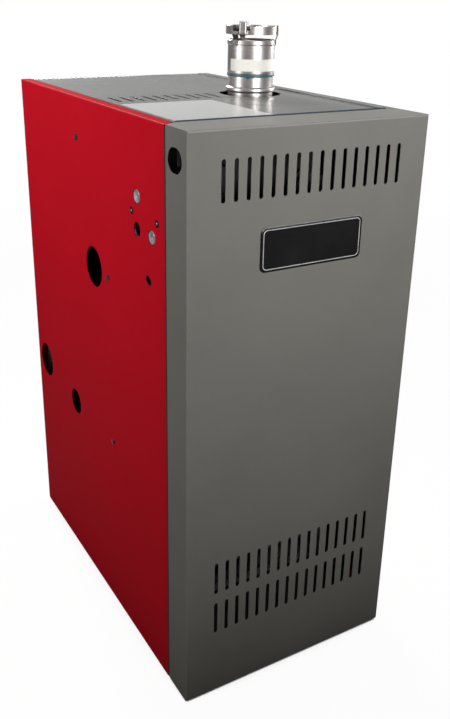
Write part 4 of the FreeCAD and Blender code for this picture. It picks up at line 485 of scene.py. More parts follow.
# Vestibule and rear: galvanised pans screwed to the base, of which the front one closes the fire off from
# the door. Above it a black folded sheet holds the ignition control, the transformer on its bent legs and
# the air-pressure switch with its silicone tube. The junction box hangs on the left, with a dull lid.
dress(galvanised, "vestibule_panel", "junction_box", "rear_panel")
dress(dull_zinc, "junction_box_cover")
dress(black_moulding, "ignition_control", "pressure_switch")
dress(motor_enamel, "control_panel")

PAN_FACE = plate_high.y
PAN_INSET, PAN_FOOT, PAN_HEAD, PAN_ROWS = 11, 25, 20, 5
pan_low, pan_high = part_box("vestibule_panel")
pan_levels = np.linspace(pan_low.z / MM + PAN_FOOT, pan_high.z / MM - PAN_HEAD, PAN_ROWS)
sheet_screws("pan_screws", at_face(PAN_FACE, both_sides(pan_high.x / MM - PAN_INSET, pan_levels)))
PANEL_INSET, PANEL_END = 8, 9
panel_low, panel_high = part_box("control_panel")
panel_x = panel_high.x / MM - PANEL_INSET
panel_levels = (panel_low.z / MM + PANEL_END, panel_high.z / MM - PANEL_END)
sheet_screws("control_screws", at_face(PAN_FACE, both_sides(panel_x, panel_levels)))

MODULE_INSET, MODULE_TABS, TAB_RISE, TAB_PROUD, LENS_DROP = 9, 8, 14, 0.002, 10
module_low, module_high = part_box("ignition_control")
module_x = np.linspace(module_low.x / MM + MODULE_INSET, module_high.x / MM - MODULE_INSET, MODULE_TABS)
tab_row = module_low.z / MM + TAB_RISE
SHROUD = carried(SQUARE, (41, 7, -0.5), (41, 7, 2.0), (40, 6, 2.6))
surface("terminal_shroud", set_on(SHROUD, at_face(module_low.y, [(module_x.mean(), tab_row)])),
        black_moulding, "boiler")
tabs("module_tabs", at_face(module_low.y - TAB_PROUD, [(x, tab_row) for x in module_x]))
LENS_DOME = carried(CIRCLE, (2.2, 2.2, -0.3), (2.2, 2.2, 1.2), (1.8, 1.8, 2.1), (0.8, 0.8, 2.6))
lens_spot = (module_high.x / MM - MODULE_INSET, module_high.z / MM - LENS_DROP)
signal_green = moulding("signal_lens", (0.05, 0.30, 0.10), (0.04, 0.24, 0.08), 0.12, 0.00001)
surface("signal_lens", set_on(LENS_DOME, at_face(module_low.y, [lens_spot])), signal_green, "boiler")

coil_low, coil_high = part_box("transformer")
core_back = coil_high.y - (coil_high.y - coil_low.y) / 3
core_front = coil_low.y + (coil_high.y - coil_low.y) / 3
half_core = (core_back - core_front) / 2
winding = Finish("transformer", specular_ior_level=0.4)
middle = winding.sum_of(winding.along("Y"), -(core_back + core_front) / 2)
away = winding.add("ShaderNodeMath", {0: middle}, operation="ABSOLUTE").outputs["Value"]
taped = winding.spread(away, 0.0, 1.0, half_core + 0.0001, half_core + 0.0003)
lacquer = winding.between(winding.grain(60, detail=5), (0.020, 0.020, 0.022), (0.06, 0.058, 0.055))
wraps = winding.grain(40, detail=5, at=winding.stretched(1, 1, 9))
tape_tone = winding.between(wraps, (0.42, 0.30, 0.11), (0.55, 0.42, 0.18))
winding.give("Base Color", winding.layered(taped, lacquer, tape_tone))
winding.give("Roughness", winding.spread(taped, 0.38, 0.5, 0, 1))
stack = {"Vector": winding.place, "Scale": 290.0}
plates = winding.add("ShaderNodeTexWave", stack, bands_direction="Y").outputs["Fac"]
winding.give("Normal", winding.raised(plates, 0.0001, winding.rounded(0.0008)))
dress(winding, "transformer")
COIL_TABS, COIL_TAB_DROP = (-13, -5, 3, 11), 18
tabs("transformer_tabs", at_face(coil_low.y, [(x, coil_high.z / MM - COIL_TAB_DROP) for x in COIL_TABS]))
FOOT, BEND, LEG_INSET, LEG_SCREW = 0.011, 0.0012, 0.014, 0.0062


def bent_leg(edge, sign):
    """A leg of bent strip beside the core: an L in plan, carried upwards from one level to another."""
    stand = core_front - PAN_FACE
    plan = np.array([(0, stand), (BEND, stand), (BEND, -BEND), (FOOT, -BEND), (FOOT, 0), (0, 0)])
    x, y = edge + sign * plan[:, 0], PAN_FACE + plan[:, 1]
    return np.stack([np.stack([x, y, np.full(len(plan), height)], -1)
                     for height in (coil_low.z + LEG_INSET, coil_high.z - LEG_INSET)], 1)


legs = np.stack([bent_leg(coil_high.x, 1), bent_leg(coil_low.x, -1)])
surface("transformer_legs", legs, plated, "boiler")
coil_level = (coil_low.z + coil_high.z) / 2 / MM
sheet_screws("transformer_screws", at_face(PAN_FACE - BEND, [
    (x / MM, coil_level) for x in (coil_high.x + LEG_SCREW, coil_low.x - LEG_SCREW)]))

SWITCH_TABS, SWITCH_TAB_DROP, SWITCH_PROUD = (-9, 0, 9), 18, 0.0015
switch_low, switch_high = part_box("pressure_switch")
switch_mid = (switch_low + switch_high) / 2
HUB = carried(CIRCLE, (25, 25, -0.5), (25, 25, 1.0), (24, 24, 1.5), (13, 13, 1.5), (12, 12, 4.6),
              (11, 11, 5.2))
surface("switch_hub", set_on(HUB, [(switch_mid.x, switch_low.y, switch_mid.z)]), black_moulding, "boiler")
tabs("switch_tabs", at_face(switch_low.y - SWITCH_PROUD, [
    (switch_mid.x / MM + step, switch_mid.z / MM - SWITCH_TAB_DROP) for step in SWITCH_TABS]))

tube = Finish("silicone_tube", roughness=0.38, subsurface_weight=0.2, specular_ior_level=0.4)
tube.give("Base Color", tube.between(tube.grain(90, detail=3), (0.52, 0.49, 0.44), (0.64, 0.61, 0.56)))
tube.give("Normal", tube.raised(tube.grain(500), 0.0001))
dress(tube, "pressure_tube")


# Limit control and gauge: a moulded limit switch with a red reset button and a round adjuster, and a
# dial gauge in a black case with a painted face, a pressed needle and a flat glass. Both screw into the
# casting behind the pan.
grey_moulding = moulding("grey_moulding", (0.25, 0.26, 0.27), (0.20, 0.21, 0.22), 0.45)
dress(grey_moulding, "limit_control")
red_button = moulding("red_button", (0.50, 0.03, 0.03), (0.42, 0.022, 0.024), 0.22, 0.00004)
dress(red_button, "limit_reset_button")
dress(motor_enamel, "gauge_case")

dial_paint = Finish("dial_enamel", roughness=0.5)
mottle = dial_paint.grain(70, detail=4)
dial_paint.give("Base Color", dial_paint.between(mottle, (0.72, 0.72, 0.69), (0.80, 0.80, 0.78)))
dial_paint.give("Normal", dial_paint.raised(dial_paint.grain(1400), 0.00003))
dress(dial_paint, "gauge_dial")

needle_paint = moulding("needle_paint", (0.035, 0.035, 0.036), (0.02, 0.02, 0.021), 0.4, 0.00002)
dress(needle_paint, "pressure_needle")

glass = Finish("gauge_glass", roughness=0.02, transmission_weight=1.0, ior=1.5)
glass.give("Base Color", glass.between(glass.grain(30, detail=2), (0.95, 0.96, 0.96), (0.99, 0.99, 0.99)))
dress(glass, "gauge_glass")


def marks(name, centre, finish, turns, start, length, width):
    """Printed lines round a centre like a clock's: each lies along its own turn, in degrees."""
    shape = carried(SQUARE, (length / 2, width / 2, -0.05), (length / 2, width / 2, 0.06))
    lines = []
    for turn in np.radians(turns):
        along = np.array((math.cos(turn), 0.0, math.sin(turn)))
        way = (along, (-along[2], 0.0, along[0]), (0, -1, 0))
        lines.append(set_on(shape, [np.array(centre) + along * (start + length / 2) * MM], way))
    surface(name, np.concatenate(lines), finish, "boiler")


FIRST_TURN, SWEEP, TOP_MARK, FINE_STEPS, BOLD_STEPS = 225, 270, 60, 30, 6
NUMBER_REACH, NUMBER_HEIGHT, NUMBER_PROUD = 0.0212, 5.4, 0.00005
dial_low, dial_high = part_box("gauge_dial")
dial_mid = (dial_low + dial_high) / 2
dial_face = (dial_mid.x, dial_low.y, dial_mid.z)
fine_turns = FIRST_TURN - SWEEP * np.arange(FINE_STEPS + 1) / FINE_STEPS
bold_turns = FIRST_TURN - SWEEP * np.arange(BOLD_STEPS + 1) / BOLD_STEPS
marks("fine_marks", dial_face, needle_paint, fine_turns, start=28.2, length=2.6,
      width=0.5)
marks("bold_marks", dial_face, needle_paint, bold_turns, start=26.6, length=4.2,
      width=1.0)
numbers = []
for step, turn in enumerate(np.radians(bold_turns)):
    number_x = dial_mid.x + NUMBER_REACH * math.cos(turn)
    number_z = dial_mid.z + NUMBER_REACH * math.sin(turn)
    numbers.append((str(round(TOP_MARK * step / BOLD_STEPS)), NUMBER_HEIGHT,
                    (number_x, dial_low.y - NUMBER_PROUD, number_z)))
words("dial_numbers", needle_paint, "white_enamel", *numbers)

ADJUSTER_DROP, ADJUSTER_PROUD, ADJUSTER_TURN, LIMIT_TABS = 0.022, 0.0028, 50, (22, 36, 50)
limit_turns = np.linspace(210, -30, 7)
RIGHTWARD = ((0, 1, 0), (0, 0, 1), (1, 0, 0))
limit_low, limit_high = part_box("limit_control")
ADJUSTER = carried(CIRCLE, (12.5, 12.5, -0.3), (12.5, 12.5, 1.8), (11.6, 11.6, 2.8), (5.4, 5.4, 2.8),
                   (4.8, 4.8, 1.6))
adjuster_mid = ((limit_low.x + limit_high.x) / 2, limit_low.y, limit_high.z - ADJUSTER_DROP)
adjuster_top = (adjuster_mid[0], limit_low.y - ADJUSTER_PROUD, adjuster_mid[2])
surface("limit_adjuster", set_on(ADJUSTER, [adjuster_mid]), black_moulding, "boiler")
marks("limit_marks", adjuster_mid, white_fill, limit_turns, start=14.2, length=2.8,
      width=0.6)
marks("adjuster_line", adjuster_top, white_fill, [ADJUSTER_TURN], start=6.2, length=4.6,
      width=0.8)
limit_y = (limit_low.y + PAN_FACE) / 2
tabs("limit_tabs", [(limit_high.x, limit_y, limit_low.z + rise * MM) for rise in LIMIT_TABS], RIGHTWARD)


# Side panels: folded sheet steel in baked red enamel, flanged at the top, front and rear, with punched
# holes on the left that have rubber rims, and knock-out discs behind two. Hexagon sheet screws hold the
# panels, and foam tape with a rubber cord seals their front edges against the door. The black of the
# tape, the cord, the wide rims at the box screws and the rings round the knock-outs also stands in as
# painted shade in the seam, behind the door's slots, inside the screw holes and in the knock-out grooves.
def enamelled(name, tones, gloss, shine, inward, top_highlight=0.0, corner=0.0012, peel=0.000015):
    """Baked enamel on sheet: orange peel, a slow wave of the sheet, smudges, and wear on its edges. The
    inner face, which looks along inward, has a backing coat. On request the wear tone is also laid as a
    painted highlight on faces that turn upwards, strongest on folds and half as strong on flat tops."""
    pale, dark, wear_and_highlight, backing = tones
    enamel = Finish(name, specular_ior_level=shine)
    smudge = enamel.grain(5, detail=6, rough=0.6)
    fleck = enamel.grain(1500, detail=2)
    cloud = enamel.sum_of(enamel.spread(smudge, 0.0, 0.6), enamel.spread(fleck, 0.0, 0.4))
    colour = enamel.tones(cloud, (0.1, dark), (0.9, pale))
    rounded = enamel.rounded(corner)
    patches = enamel.spread(enamel.grain(60, detail=5), 0.05, 0.55)
    colour = enamel.layered(enamel.sum_of(enamel.edges(rounded), patches, "MULTIPLY"), colour, wear_and_highlight)
    way = enamel.add("ShaderNodeNewGeometry", {}).outputs
    # Painted highlight: faces that turn upwards get the wear tone, strongest on folds, half on flat tops.
    if top_highlight:
        top_highlight_mask = enamel.tones(enamel.along("Z", way["Normal"]), (0.10, (0, 0, 0)), (0.45, [top_highlight] * 3),
                            (0.80, [top_highlight / 2] * 3))
        colour = enamel.layered(top_highlight_mask, colour, wear_and_highlight)
    inner = enamel.spread(enamel.match(way["True Normal"], inward), 0.0, 1.0, 0.90, 0.95)
    enamel.give("Base Color", enamel.layered(inner, colour, backing))
    dull = enamel.spread(fleck, 0.0, 0.04)
    enamel.give("Roughness", enamel.sum_of(enamel.spread(smudge, gloss, gloss + 0.10), dull))
    wave = enamel.raised(enamel.grain(2.6, detail=1), 40 * peel, rounded)
    enamel.give("Normal", enamel.raised(enamel.grain(620, detail=2), peel, wave))
    return enamel


# Backing coat of the inner faces, made near black so that it also serves as painted shade inside the
# jacket.
SHADE_DARK_BACK_COAT = (0.07, 0.068, 0.064)
# The third red is wear on the edges and painted highlight on the panels' upward folds and tops.
RED_TONES = (0.64, 0.0092, 0.0220), (0.59, 0.0076, 0.0177), (0.40, 0.018, 0.026), SHADE_DARK_BACK_COAT
dress(enamelled("red_enamel_left", RED_TONES, 0.32, 0.003, (1, 0, 0), top_highlight=0.8), "left_side_panel")
dress(enamelled("red_enamel_right", RED_TONES, 0.32, 0.003, (-1, 0, 0), top_highlight=0.8), "right_side_panel")
dark_plate = plating("dark_plate", 0.9, 140, 4, (0.19, 0.18, 0.16), (0.09, 0.085, 0.076),
                     (0.34, 0.32, 0.29), 0.32)
dress(dark_plate, "jacket_screws")


def mottled(name, per_metre, detail, pale, dark, depth, **constants):
    """A plain surface in two tones: one grain gives it both its tones and its relief."""
    plain = Finish(name, **constants)
    spots = plain.grain(per_metre, detail=detail)
    plain.give("Base Color", plain.between(spots, dark, pale))
    plain.give("Normal", plain.raised(spots, depth))
    return plain


# Black: real rubber on the service grommet, and painted shade on the door tape, the wide box-screw rims,
# the knock-out rings and the flange bead.
rubber_and_shade_black = mottled("black_rubber_and_shade", 1400, 3, (0.020, 0.020, 0.021), (0.008, 0.008, 0.009), 0.0003, roughness=0.9,
               specular_ior_level=0.1)
# Foam tape on the front flanges; besides sealing, its black is painted shade behind the door's slots.
SHADE_TAPE_WIDE, SHADE_TAPE_DEPTH, SHADE_TAPE_INSET, SHADE_TAPE_FOOT, SHADE_TAPE_HEAD = 12, 3.1, 2.8, 24, 893
MAGNET_HALF, MAGNET_ROOM = 7, 23
side_low, side_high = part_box("left_side_panel")
magnet_low, magnet_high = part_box("door_magnets")
magnet_levels = (magnet_low.z / MM + MAGNET_HALF, magnet_high.z / MM - MAGNET_HALF)
gaps = [level + side * MAGNET_ROOM / 2 for level in magnet_levels for side in (-1, 1)]
stops = [SHADE_TAPE_FOOT, *gaps, SHADE_TAPE_HEAD]
shade_tape_x = side_low.x + (SHADE_TAPE_INSET + SHADE_TAPE_WIDE / 2) * MM
shade_tape_y = side_low.y - SHADE_TAPE_DEPTH / 2 * MM
strips = []
for foot, head in zip(stops[0::2], stops[1::2]):
    strip = carried(SQUARE, (SHADE_TAPE_WIDE / 2, SHADE_TAPE_DEPTH / 2, foot), (SHADE_TAPE_WIDE / 2, SHADE_TAPE_DEPTH / 2, head))
    strips.append(set_on(strip, [(shade_tape_x, shade_tape_y, 0), (-shade_tape_x, shade_tape_y, 0)], UPWARD))
surface("door_shade_tape", np.concatenate(strips), rubber_and_shade_black, "boiler")

MIRRORED = ((-1, 0, 0), (0, 1, 0), (0, 0, 1))
# A dark rubber cord in the seam between door and side panel; its dark tone is painted shade for that gap.
SHADE_CORD_FOOT, SHADE_CORD_HEAD = 4, 909
SHADE_CORD = np.array([(0.25, -3.2), (2.6, -3.2), (2.6, -0.05), (1.9, 0.12), (1.0, 0.66), (0.25, 1.65)])
shade_cord_run = carried(SHADE_CORD, (1, 1, SHADE_CORD_FOOT), (1, 1, SHADE_CORD_HEAD))
shade_cords = np.concatenate([set_on(shade_cord_run, [(side_low.x, side_low.y, 0)], UPWARD),
                        set_on(shade_cord_run, [(-side_low.x, side_low.y, 0)], MIRRORED)])
seam_shade_rubber = moulding("seam_shade_rubber", (0.056, 0.030, 0.028), (0.040, 0.021, 0.020), 0.6, shine=0.15)
surface("seam_shade_cord", shade_cords, seam_shade_rubber, "boiler")

LEFTWARD = ((0, -1, 0), (0, 0, 1), (-1, 0, 0))
BOX_SCREW_REACH, CONDUIT_REACH = 0.0423, 0.02425
box_low, box_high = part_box("junction_box")
box_mid = (box_low + box_high) / 2
box_screw_spots = [(side_low.x, box_mid.y + side * BOX_SCREW_REACH, box_mid.z) for side in (-1, 1)]
# Rubber rims round the box screws, made wide and black so that they are also painted shade for the holes.
SHADE_GROMMET = ring((2.7, -1.2), (4.7, -1.2), (4.7, 0.05), (5.9, 0.1), (5.7, 0.5), (4.4, 0.75), (3.0, 0.6),
               (2.7, 0.2))
surface("box_shade_grommets", set_on(SHADE_GROMMET, box_screw_spots, LEFTWARD), rubber_and_shade_black, "boiler",
        ends_meet=True)
DOME = carried(CIRCLE, (2.1, 2.1, 0.01), (2.1, 2.1, 0.4), (1.8, 1.8, 0.9), (1.1, 1.1, 1.2),
               (0.4, 0.4, 1.3))
surface("box_screw_domes", set_on(DOME, box_screw_spots, LEFTWARD), plated, "boiler")
conduit_steps = (CONDUIT_REACH, -CONDUIT_REACH)
knockout_spots = [(box_low.x, box_mid.y + step, box_mid.z + step) for step in conduit_steps]
DISH = carried(CIRCLE, (10, 10, 0.02), (10, 10, 0.9), (9.7, 9.7, 1.25), (9.2, 9.2, 1.25),
               (7.4, 7.4, 0.82), (5.4, 5.4, 0.48), (3.2, 3.2, 0.22), (1.2, 1.2, 0.12))
surface("knockout_discs", set_on(DISH, knockout_spots, LEFTWARD), galvanised, "boiler")
# Painted shade: a black ring in the groove round each knock-out disc.
KNOCKOUT_SHADE_RING = ring((10.1, -0.5), (11.0, -0.5), (11.0, 0.1), (10.1, 0.1))
surface("knockout_shade_rings", set_on(KNOCKOUT_SHADE_RING, knockout_spots, LEFTWARD), rubber_and_shade_black, "boiler",
        ends_meet=True)

SERVICE_REACH, SERVICE_SETBACK, SERVICE_LEVEL = (-2.5, 1.3), 0.117, 0.686
service_spot = (side_low.x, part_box("front_door")[0].y + SERVICE_SETBACK, SERVICE_LEVEL)
LIP = ring((4.4, -1.3), (4.9, -1.3), (4.9, 0.05), (6.2, 0.05), (6.0, 0.5), (4.8, 0.6), (4.4, 0.2),
           reach=SERVICE_REACH)
surface("service_grommet", set_on(LIP, [service_spot], LEFTWARD), rubber_and_shade_black, "boiler",
        ends_meet=True)


# Top panel: the same sheet in grey enamel, tucked under the left flange and lapped over the right one,
# slotted at the rear and with a wide hole for the vent. A dark bead seals it along the left flange, and
# its black stands in as painted shade under the flange's edge. A bare label and the door's blue seal lie
# on it.
TOP_TONES = (0.182, 0.182, 0.174), (0.162, 0.162, 0.154), (0.19, 0.19, 0.18), SHADE_DARK_BACK_COAT
dress(enamelled("grey_enamel_top", TOP_TONES, 0.18, 0.15, (0, 0, -1), corner=0.0002, peel=0.000006),
      "top_panel")

# Painted shade: the dark bead's black stands in for the shade under the edge of the left flange.
SHADE_BEAD_WIDE, SHADE_BEAD_TALL, SHADE_BEAD_REAR, SHADE_BEAD_FRONT, FLANGE_DEPTH = 3.2, 1.0, 1, 14, 0.0015
top_low, top_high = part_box("top_panel")
SHADE_BEAD = carried(SQUARE, (SHADE_BEAD_WIDE / 2, SHADE_BEAD_TALL / 2, -top_high.y / MM + SHADE_BEAD_REAR),
               (SHADE_BEAD_WIDE / 2, SHADE_BEAD_TALL / 2, -top_low.y / MM - SHADE_BEAD_FRONT))
shade_bead_spot = (side_high.x + SHADE_BEAD_WIDE / 2 * MM, 0, top_high.z - FLANGE_DEPTH + SHADE_BEAD_TALL / 2 * MM)
surface("flange_shade_bead", set_on(SHADE_BEAD, [shade_bead_spot]), rubber_and_shade_black, "boiler")

label_film = Finish("label_film", roughness=0.35, specular_ior_level=0.4)
fibre_mark = label_film.grain(260, detail=5)
label_film.give("Base Color", label_film.between(fibre_mark, (0.45, 0.45, 0.435), (0.50, 0.50, 0.485)))
paper = label_film.raised(fibre_mark, 0.00004)
label_film.give("Normal", label_film.raised(label_film.grain(9, detail=2), 0.0004, paper))
dress(label_film, "rating_label")

blue_seal = mottled("sealing_strip", 900, 3, (0.028, 0.048, 0.078), (0.016, 0.028, 0.046), 0.0003,
                    roughness=0.6, specular_ior_level=0.3)
dress(blue_seal, "door_seal")


# Front door: one sheet in grey enamel, folded back on four sides, with three rows of punched slots and a
# finger hole in each side return. It is pulled straight off, and ferrite magnets in steel cups hold it.
# The third grey is wear on the door's edges and painted highlight on its upward folds and top.
GREY_PALE, GREY_DARK, GREY_WEAR_AND_HIGHLIGHT = (0.218, 0.212, 0.193), (0.189, 0.183, 0.165), (0.34, 0.33, 0.31)
door_tones = GREY_PALE, GREY_DARK, GREY_WEAR_AND_HIGHLIGHT, GREY_DARK
dress(enamelled("grey_enamel_door", door_tones, 0.36, 0.03, (0, 1, 0), top_highlight=0.8), "front_door")

ferrite = Finish("ferrite", roughness=0.6)
powder = ferrite.grain(500, detail=4)
ferrite.give("Base Color", ferrite.between(powder, (0.03, 0.03, 0.032), (0.075, 0.073, 0.072)))
ferrite.give("Normal", ferrite.raised(ferrite.grain(900), 0.0002, ferrite.rounded(0.0006)))
dress(ferrite, "door_magnets")


# Badge: a black moulded plate with rounded corners, stuck to the door, with a thin bright line inlaid
# round its edge. Its middle is left bare, and a pale painted highlight lies on its upper edge.
badge_gloss = Finish("badge_gloss", specular_ior_level=0.25)
swirl = badge_gloss.grain(24, detail=5)
rounded = badge_gloss.rounded(0.0032)
# Painted highlight: the colour turns pale where the rounded edge faces upwards.
layer = badge_gloss.spread(badge_gloss.along("Z", rounded), 0.0, 1.0, 0.10, 0.34)
black = badge_gloss.between(swirl, (0.010, 0.010, 0.010), (0.014, 0.014, 0.014))
badge_gloss.give("Base Color", badge_gloss.layered(layer, black, (0.40, 0.40, 0.415)))
badge_gloss.give("Roughness", badge_gloss.spread(swirl, 0.14, 0.24))
badge_gloss.give("Normal", rounded)
dress(badge_gloss, "badge_plate")


def rounded_frame(half_width, half_height, radius, steps):
    """The outline of a rounded rectangle: each quarter turn is an arc about its own corner's centre.
    Gives places and outward directions in the plane."""
    turn = np.linspace(0, 2 * np.pi, 4 * steps, endpoint=False) + np.pi / (4 * steps)
    outward = np.stack([np.cos(turn), np.sin(turn)], -1)
    centre = np.sign(outward) * np.array([half_width - radius, half_height - radius])
    return centre + radius * outward, outward


ARC_STEPS, OVAL_STEPS = 16, 12


def inlaid_line(inset, width, proud, sunk, corner):
    """A line inlaid round the badge: a flat oval section, its two halves of different height, carried
    round a rounded rectangle at an inset from the badge's edge."""
    low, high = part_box("badge_plate")
    mid = (low + high) / 2
    outline, outward = rounded_frame((high.x - low.x) / 2 - inset, (high.z - low.z) / 2 - inset, corner,
                                     ARC_STEPS)
    oval = np.linspace(0, 2 * np.pi, OVAL_STEPS, endpoint=False)
    across = outline[:, None, :] - outward[:, None, :] * (width / 2) * np.cos(oval)[None, :, None]
    ahead = low.y + np.where(np.sin(oval) > 0, sunk, proud) * np.sin(oval)
    return np.stack([mid.x + across[..., 0], np.broadcast_to(ahead, across.shape[:2]),
                     mid.z + across[..., 1]], -1)


bright_line = Finish("bright_line", metallic=0.3)
polish = bright_line.grain(90, detail=4)
bright_line.give("Base Color", bright_line.between(polish, (0.60, 0.60, 0.60), (0.74, 0.74, 0.74)))
bright_line.give("Roughness", bright_line.spread(polish, 0.25, 0.4))
line_points = inlaid_line(inset=0.0040, width=0.0012, proud=0.00016, sunk=0.0004, corner=0.0062)
surface("badge_line", line_points, bright_line, "door", ends_meet=True)


# Vent connector: stainless pipe rolled from thin sheet, a beaded stub with a welded adapter slipped over
# it and sealed with silicone, a bare label round it, and a loose locking band with sprung clips and a
# worm screw.
DRAWN_ROUND = (3, 3, 420)
stainless = rolled_sheet("stainless_sheet", (0.47, 0.44, 0.43), (0.32, 0.30, 0.292), 0.25, DRAWN_ROUND)
band_steel = rolled_sheet("band_steel", (0.42, 0.398, 0.38), (0.285, 0.268, 0.256), 0.27, DRAWN_ROUND)
spring_steel = rolled_sheet("spring_steel", (0.13, 0.127, 0.124), (0.075, 0.073, 0.07), 0.30)
dress(stainless, "vent_stub", "vent_adapter")
dress(band_steel, "locking_band")
dress(spring_steel, "band_clips", "band_screw")

band_paper = mottled("band_label", 420, 5, (0.77, 0.745, 0.70), (0.70, 0.675, 0.63), 0.00005,
                     roughness=0.5, specular_ior_level=0.4)
dress(band_paper, "vent_label")
red_silicone = mottled("red_silicone", 140, 4, (0.090, 0.028, 0.022), (0.060, 0.019, 0.016), 0.0003,
                       roughness=0.42, specular_ior_level=0.45)
dress(red_silicone, "vent_gasket")
teal = mottled("teal_silicone", 140, 4, (0.035, 0.105, 0.115), (0.020, 0.070, 0.078), 0.0003,
               roughness=0.42, specular_ior_level=0.45)
dress(teal, "vent_seal")


def sealing_bead(foot, top, inner, outer, drip_turn, drip_length):
    """A bead laid by finger round a pipe: at each turn round the axis its section is an ellipse with
    flattened sides, and slow waves with a narrow wedge-shaped drip pull down its lower edge."""
    turn = np.linspace(0, 2 * np.pi, 180, endpoint=False)[:, None]
    round_section = np.linspace(0, 2 * np.pi, 20, endpoint=False)[None, :]
    wander = 0.45 * np.sin(3 * turn + 0.7) + 0.35 * np.sin(7 * turn + 2.1) + 0.2 * np.sin(17 * turn + 0.4)
    apart = np.abs(np.angle(np.exp(1j * (turn - drip_turn))))
    drip = drip_length * np.clip(1 - apart / 0.16, 0, 1) ** 1.3
    low, high = foot - 0.0007 * wander - drip, top + 0.0004 * np.roll(wander, 40, 0)
    thick = outer + 0.0002 * np.roll(wander, 95, 0) - inner
    flat = np.sign(np.cos(round_section)) * np.abs(np.cos(round_section)) ** 0.6
    reach = inner + thick * (1 + flat) / 2
    level = (low + high) / 2 + (high - low) / 2 * np.sin(round_section)
    return np.stack([vent_mid.x + reach * np.cos(turn), vent_mid.y + reach * np.sin(turn), level], -1)


SEAL_WALL, DRIP_TURN, DRIP_LENGTH = 0.0022, math.radians(231.5), 0.0034
seal_low, seal_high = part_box("vent_seal")
vent_mid = (seal_low + seal_high) / 2
seal_reach = (seal_high.x - seal_low.x) / 2
bead_points = sealing_bead(seal_low.z, seal_high.z, seal_reach - SEAL_WALL, seal_reach, DRIP_TURN,
                           DRIP_LENGTH)
bead = surface("teal_bead", bead_points, teal, "boiler", ends_meet=True)
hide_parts("vent_seal")

WELD_TURN, WELD_FOOT, WELD_HEAD, ADAPTER_REACH = math.radians(65), 1, 9, 0.0392
weld_along = np.array((math.cos(WELD_TURN), math.sin(WELD_TURN), 0.0))
weld_way = ((weld_along[1], -weld_along[0], 0), weld_along, (0, 0, 1))
adapter_low, adapter_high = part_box("vent_adapter")
WELD = carried(CIRCLE, (0.9, 0.3, adapter_low.z / MM + WELD_FOOT),
               (0.9, 0.3, adapter_high.z / MM - WELD_HEAD))
weld_spot = np.array((vent_mid.x, vent_mid.y, 0)) + weld_along * ADAPTER_REACH
surface("adapter_weld", set_on(WELD, [weld_spot], weld_way), stainless, "boiler")


# Studio: a pale floor that runs into a white background, its glow dimmed as painted shade where the
# boiler hems it in, soft lamps with grids at the front, left, right, rear and top, and the camera at the
# photo's point of view.
def set_up(equipment, place, back, roll=0.0):
    """Stand a lamp or camera at a place, with its back along a direction, level or rolled by an angle."""
    side = np.cross((0, 0, 1), back)
    side = side / np.linalg.norm(side)
    up = np.cross(back, side)
    across = math.cos(roll) * side + math.sin(roll) * up
    upward = -math.sin(roll) * side + math.cos(roll) * up
    holder = bpy.data.objects.new(equipment.name, equipment)
    bpy.context.scene.collection.objects.link(holder)
    holder.location = place
    holder.rotation_mode = "QUATERNION"
    holder.rotation_quaternion = mathutils.Matrix(np.stack([across, upward, back], 1)).to_quaternion()
    return holder


def lamp(name, place, target, wide, tall, watts, beam):
    """A soft rectangular lamp that looks at a target, with a grid that narrows its beam to an angle."""
    light = bpy.data.lights.new(name, "AREA")
    light.shape, light.size, light.size_y, light.energy = "RECTANGLE", wide, tall, watts
    light.spread = math.radians(beam)
    back = np.subtract(place, target)
    set_up(light, place, back / np.linalg.norm(back))


lamp("front_lamp", (0.08, -3.2, 1.29), (0.08, 0.0, 1.29), wide=0.8, tall=0.5, watts=9.3, beam=53)
lamp("left_lamp", (-3.0, 0.2, 1.50), (0.0, 0.2, 1.50), wide=0.8, tall=0.8, watts=11.0, beam=66)
lamp("right_lamp", (3.0, 0.2, 1.50), (0.0, 0.2, 1.40), wide=0.8, tall=0.8, watts=14, beam=73)
lamp("rear_lamp", (0.1, 3.0, 2.50), (0.1, 0.0, 0.80), wide=0.8, tall=0.8, watts=17, beam=73)
lamp("top_lamp", (0.0, 0.15, 3.0), (0.0, 0.0, 0.9), wide=1.0, tall=1.0, watts=1.9, beam=50)


def seen_white(tree, pale, white, seen, mirrored):
    """White for rays from the camera and, in part, from mirrors and glass; pale for all other light."""
    def worked(kind, one, two):
        return node(tree, "ShaderNodeMath", {0: one, 1: two}, operation=kind).outputs["Value"]

    path = tree.nodes.new("ShaderNodeLightPath").outputs
    direct = worked("MULTIPLY", path["Is Camera Ray"], seen)
    mirror = worked("MAXIMUM", path["Is Glossy Ray"], path["Is Transmission Ray"])
    share = worked("MAXIMUM", direct, worked("MULTIPLY", mirror, mirrored))
    return node(tree, "ShaderNodeMixShader", {0: share, 1: pale, 2: white}).outputs[0]


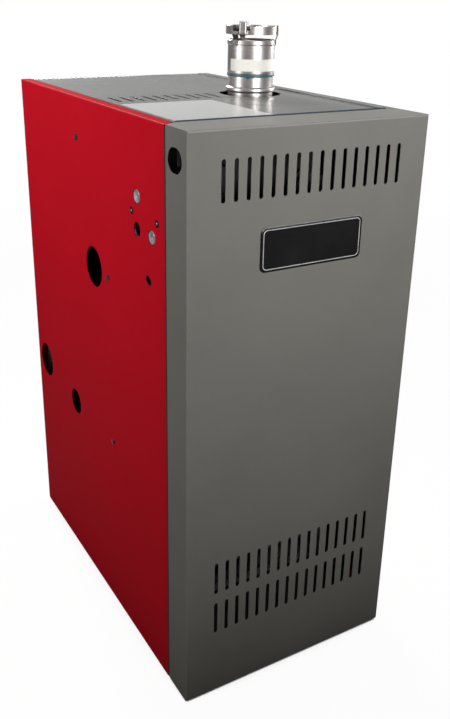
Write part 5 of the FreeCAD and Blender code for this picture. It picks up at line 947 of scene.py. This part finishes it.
ROOM_LIGHT, ROOM_SEEN, ROOM_MIRRORED = 0.03, 1.0, 0.45
WHITE = (1, 1, 1)
world = bpy.data.worlds.new("studio")
bpy.context.scene.world = world
world.use_nodes = True
sky = world.node_tree
room = sky.nodes["Background"]
room.inputs["Color"].default_value = (*WHITE, 1)
room.inputs["Strength"].default_value = ROOM_LIGHT
white_room = node(sky, "ShaderNodeBackground", {"Color": WHITE, "Strength": 1.0})
sky.links.new(seen_white(sky, room.outputs[0], white_room.outputs[0], ROOM_SEEN, ROOM_MIRRORED),
              sky.nodes["World Output"].inputs["Surface"])

FLOOR_REACH, FLOOR_SEEN, FLOOR_MIRRORED = 12.0, 0.86, 0.05
floor_corners = [(x * FLOOR_REACH, y * FLOOR_REACH, 0.0) for x, y in ((-1, -1), (1, -1), (1, 1), (-1, 1))]
floor_mesh = bpy.data.meshes.new("studio_floor")
floor_mesh.from_pydata(floor_corners, [], [(0, 1, 2, 3)])
floor = bpy.data.objects.new("studio_floor", floor_mesh)
bpy.context.scene.collection.objects.link(floor)
paint = Finish("floor_paint", roughness=0.9, specular_ior_level=0.0)
paint.give("Base Color", paint.between(paint.grain(2), (0.34, 0.34, 0.34), (0.36, 0.36, 0.36)))
apart = paint.add("ShaderNodeVectorMath", {0: paint.place}, operation="LENGTH").outputs["Value"]
# Painted shade: ambient occlusion dims the floor's glow, dark under the boiler and faint beside it.
painted_shade_openness = paint.add("ShaderNodeAmbientOcclusion", {"Distance": 0.15}, samples=8).outputs["AO"]
bright = paint.sum_of(paint.spread(apart, 1.12, 1.163, 1.0, 3.5),
                      paint.spread(painted_shade_openness, 0.0, 1.0, 0.30, 0.48), "MULTIPLY")
glow = paint.add("ShaderNodeEmission", {"Color": WHITE, "Strength": bright}).outputs[0]
paint.tree.links.new(seen_white(paint.tree, paint.shader.outputs[0], glow, FLOOR_SEEN, FLOOR_MIRRORED),
                     paint.tree.nodes["Material Output"].inputs["Surface"])
floor_mesh.materials.append(paint.material)

AZIMUTH, ELEVATION, ROLL = (math.radians(angle) for angle in (-30.84881, 21.16372, 1.24163))
camera_back = np.array([math.sin(AZIMUTH) * math.cos(ELEVATION), -math.cos(AZIMUTH) * math.cos(ELEVATION),
                        math.sin(ELEVATION)])
lens = bpy.data.cameras.new("photographer")
lens.sensor_width, lens.lens = 36.0, 41.28635
lens.shift_x, lens.shift_y = -0.00635, -0.067549
bpy.context.scene.camera = set_up(lens, (-0.668515, -1.231961, 1.073336), camera_back, ROLL)
bpy.context.scene.view_settings.view_transform = "Standard"
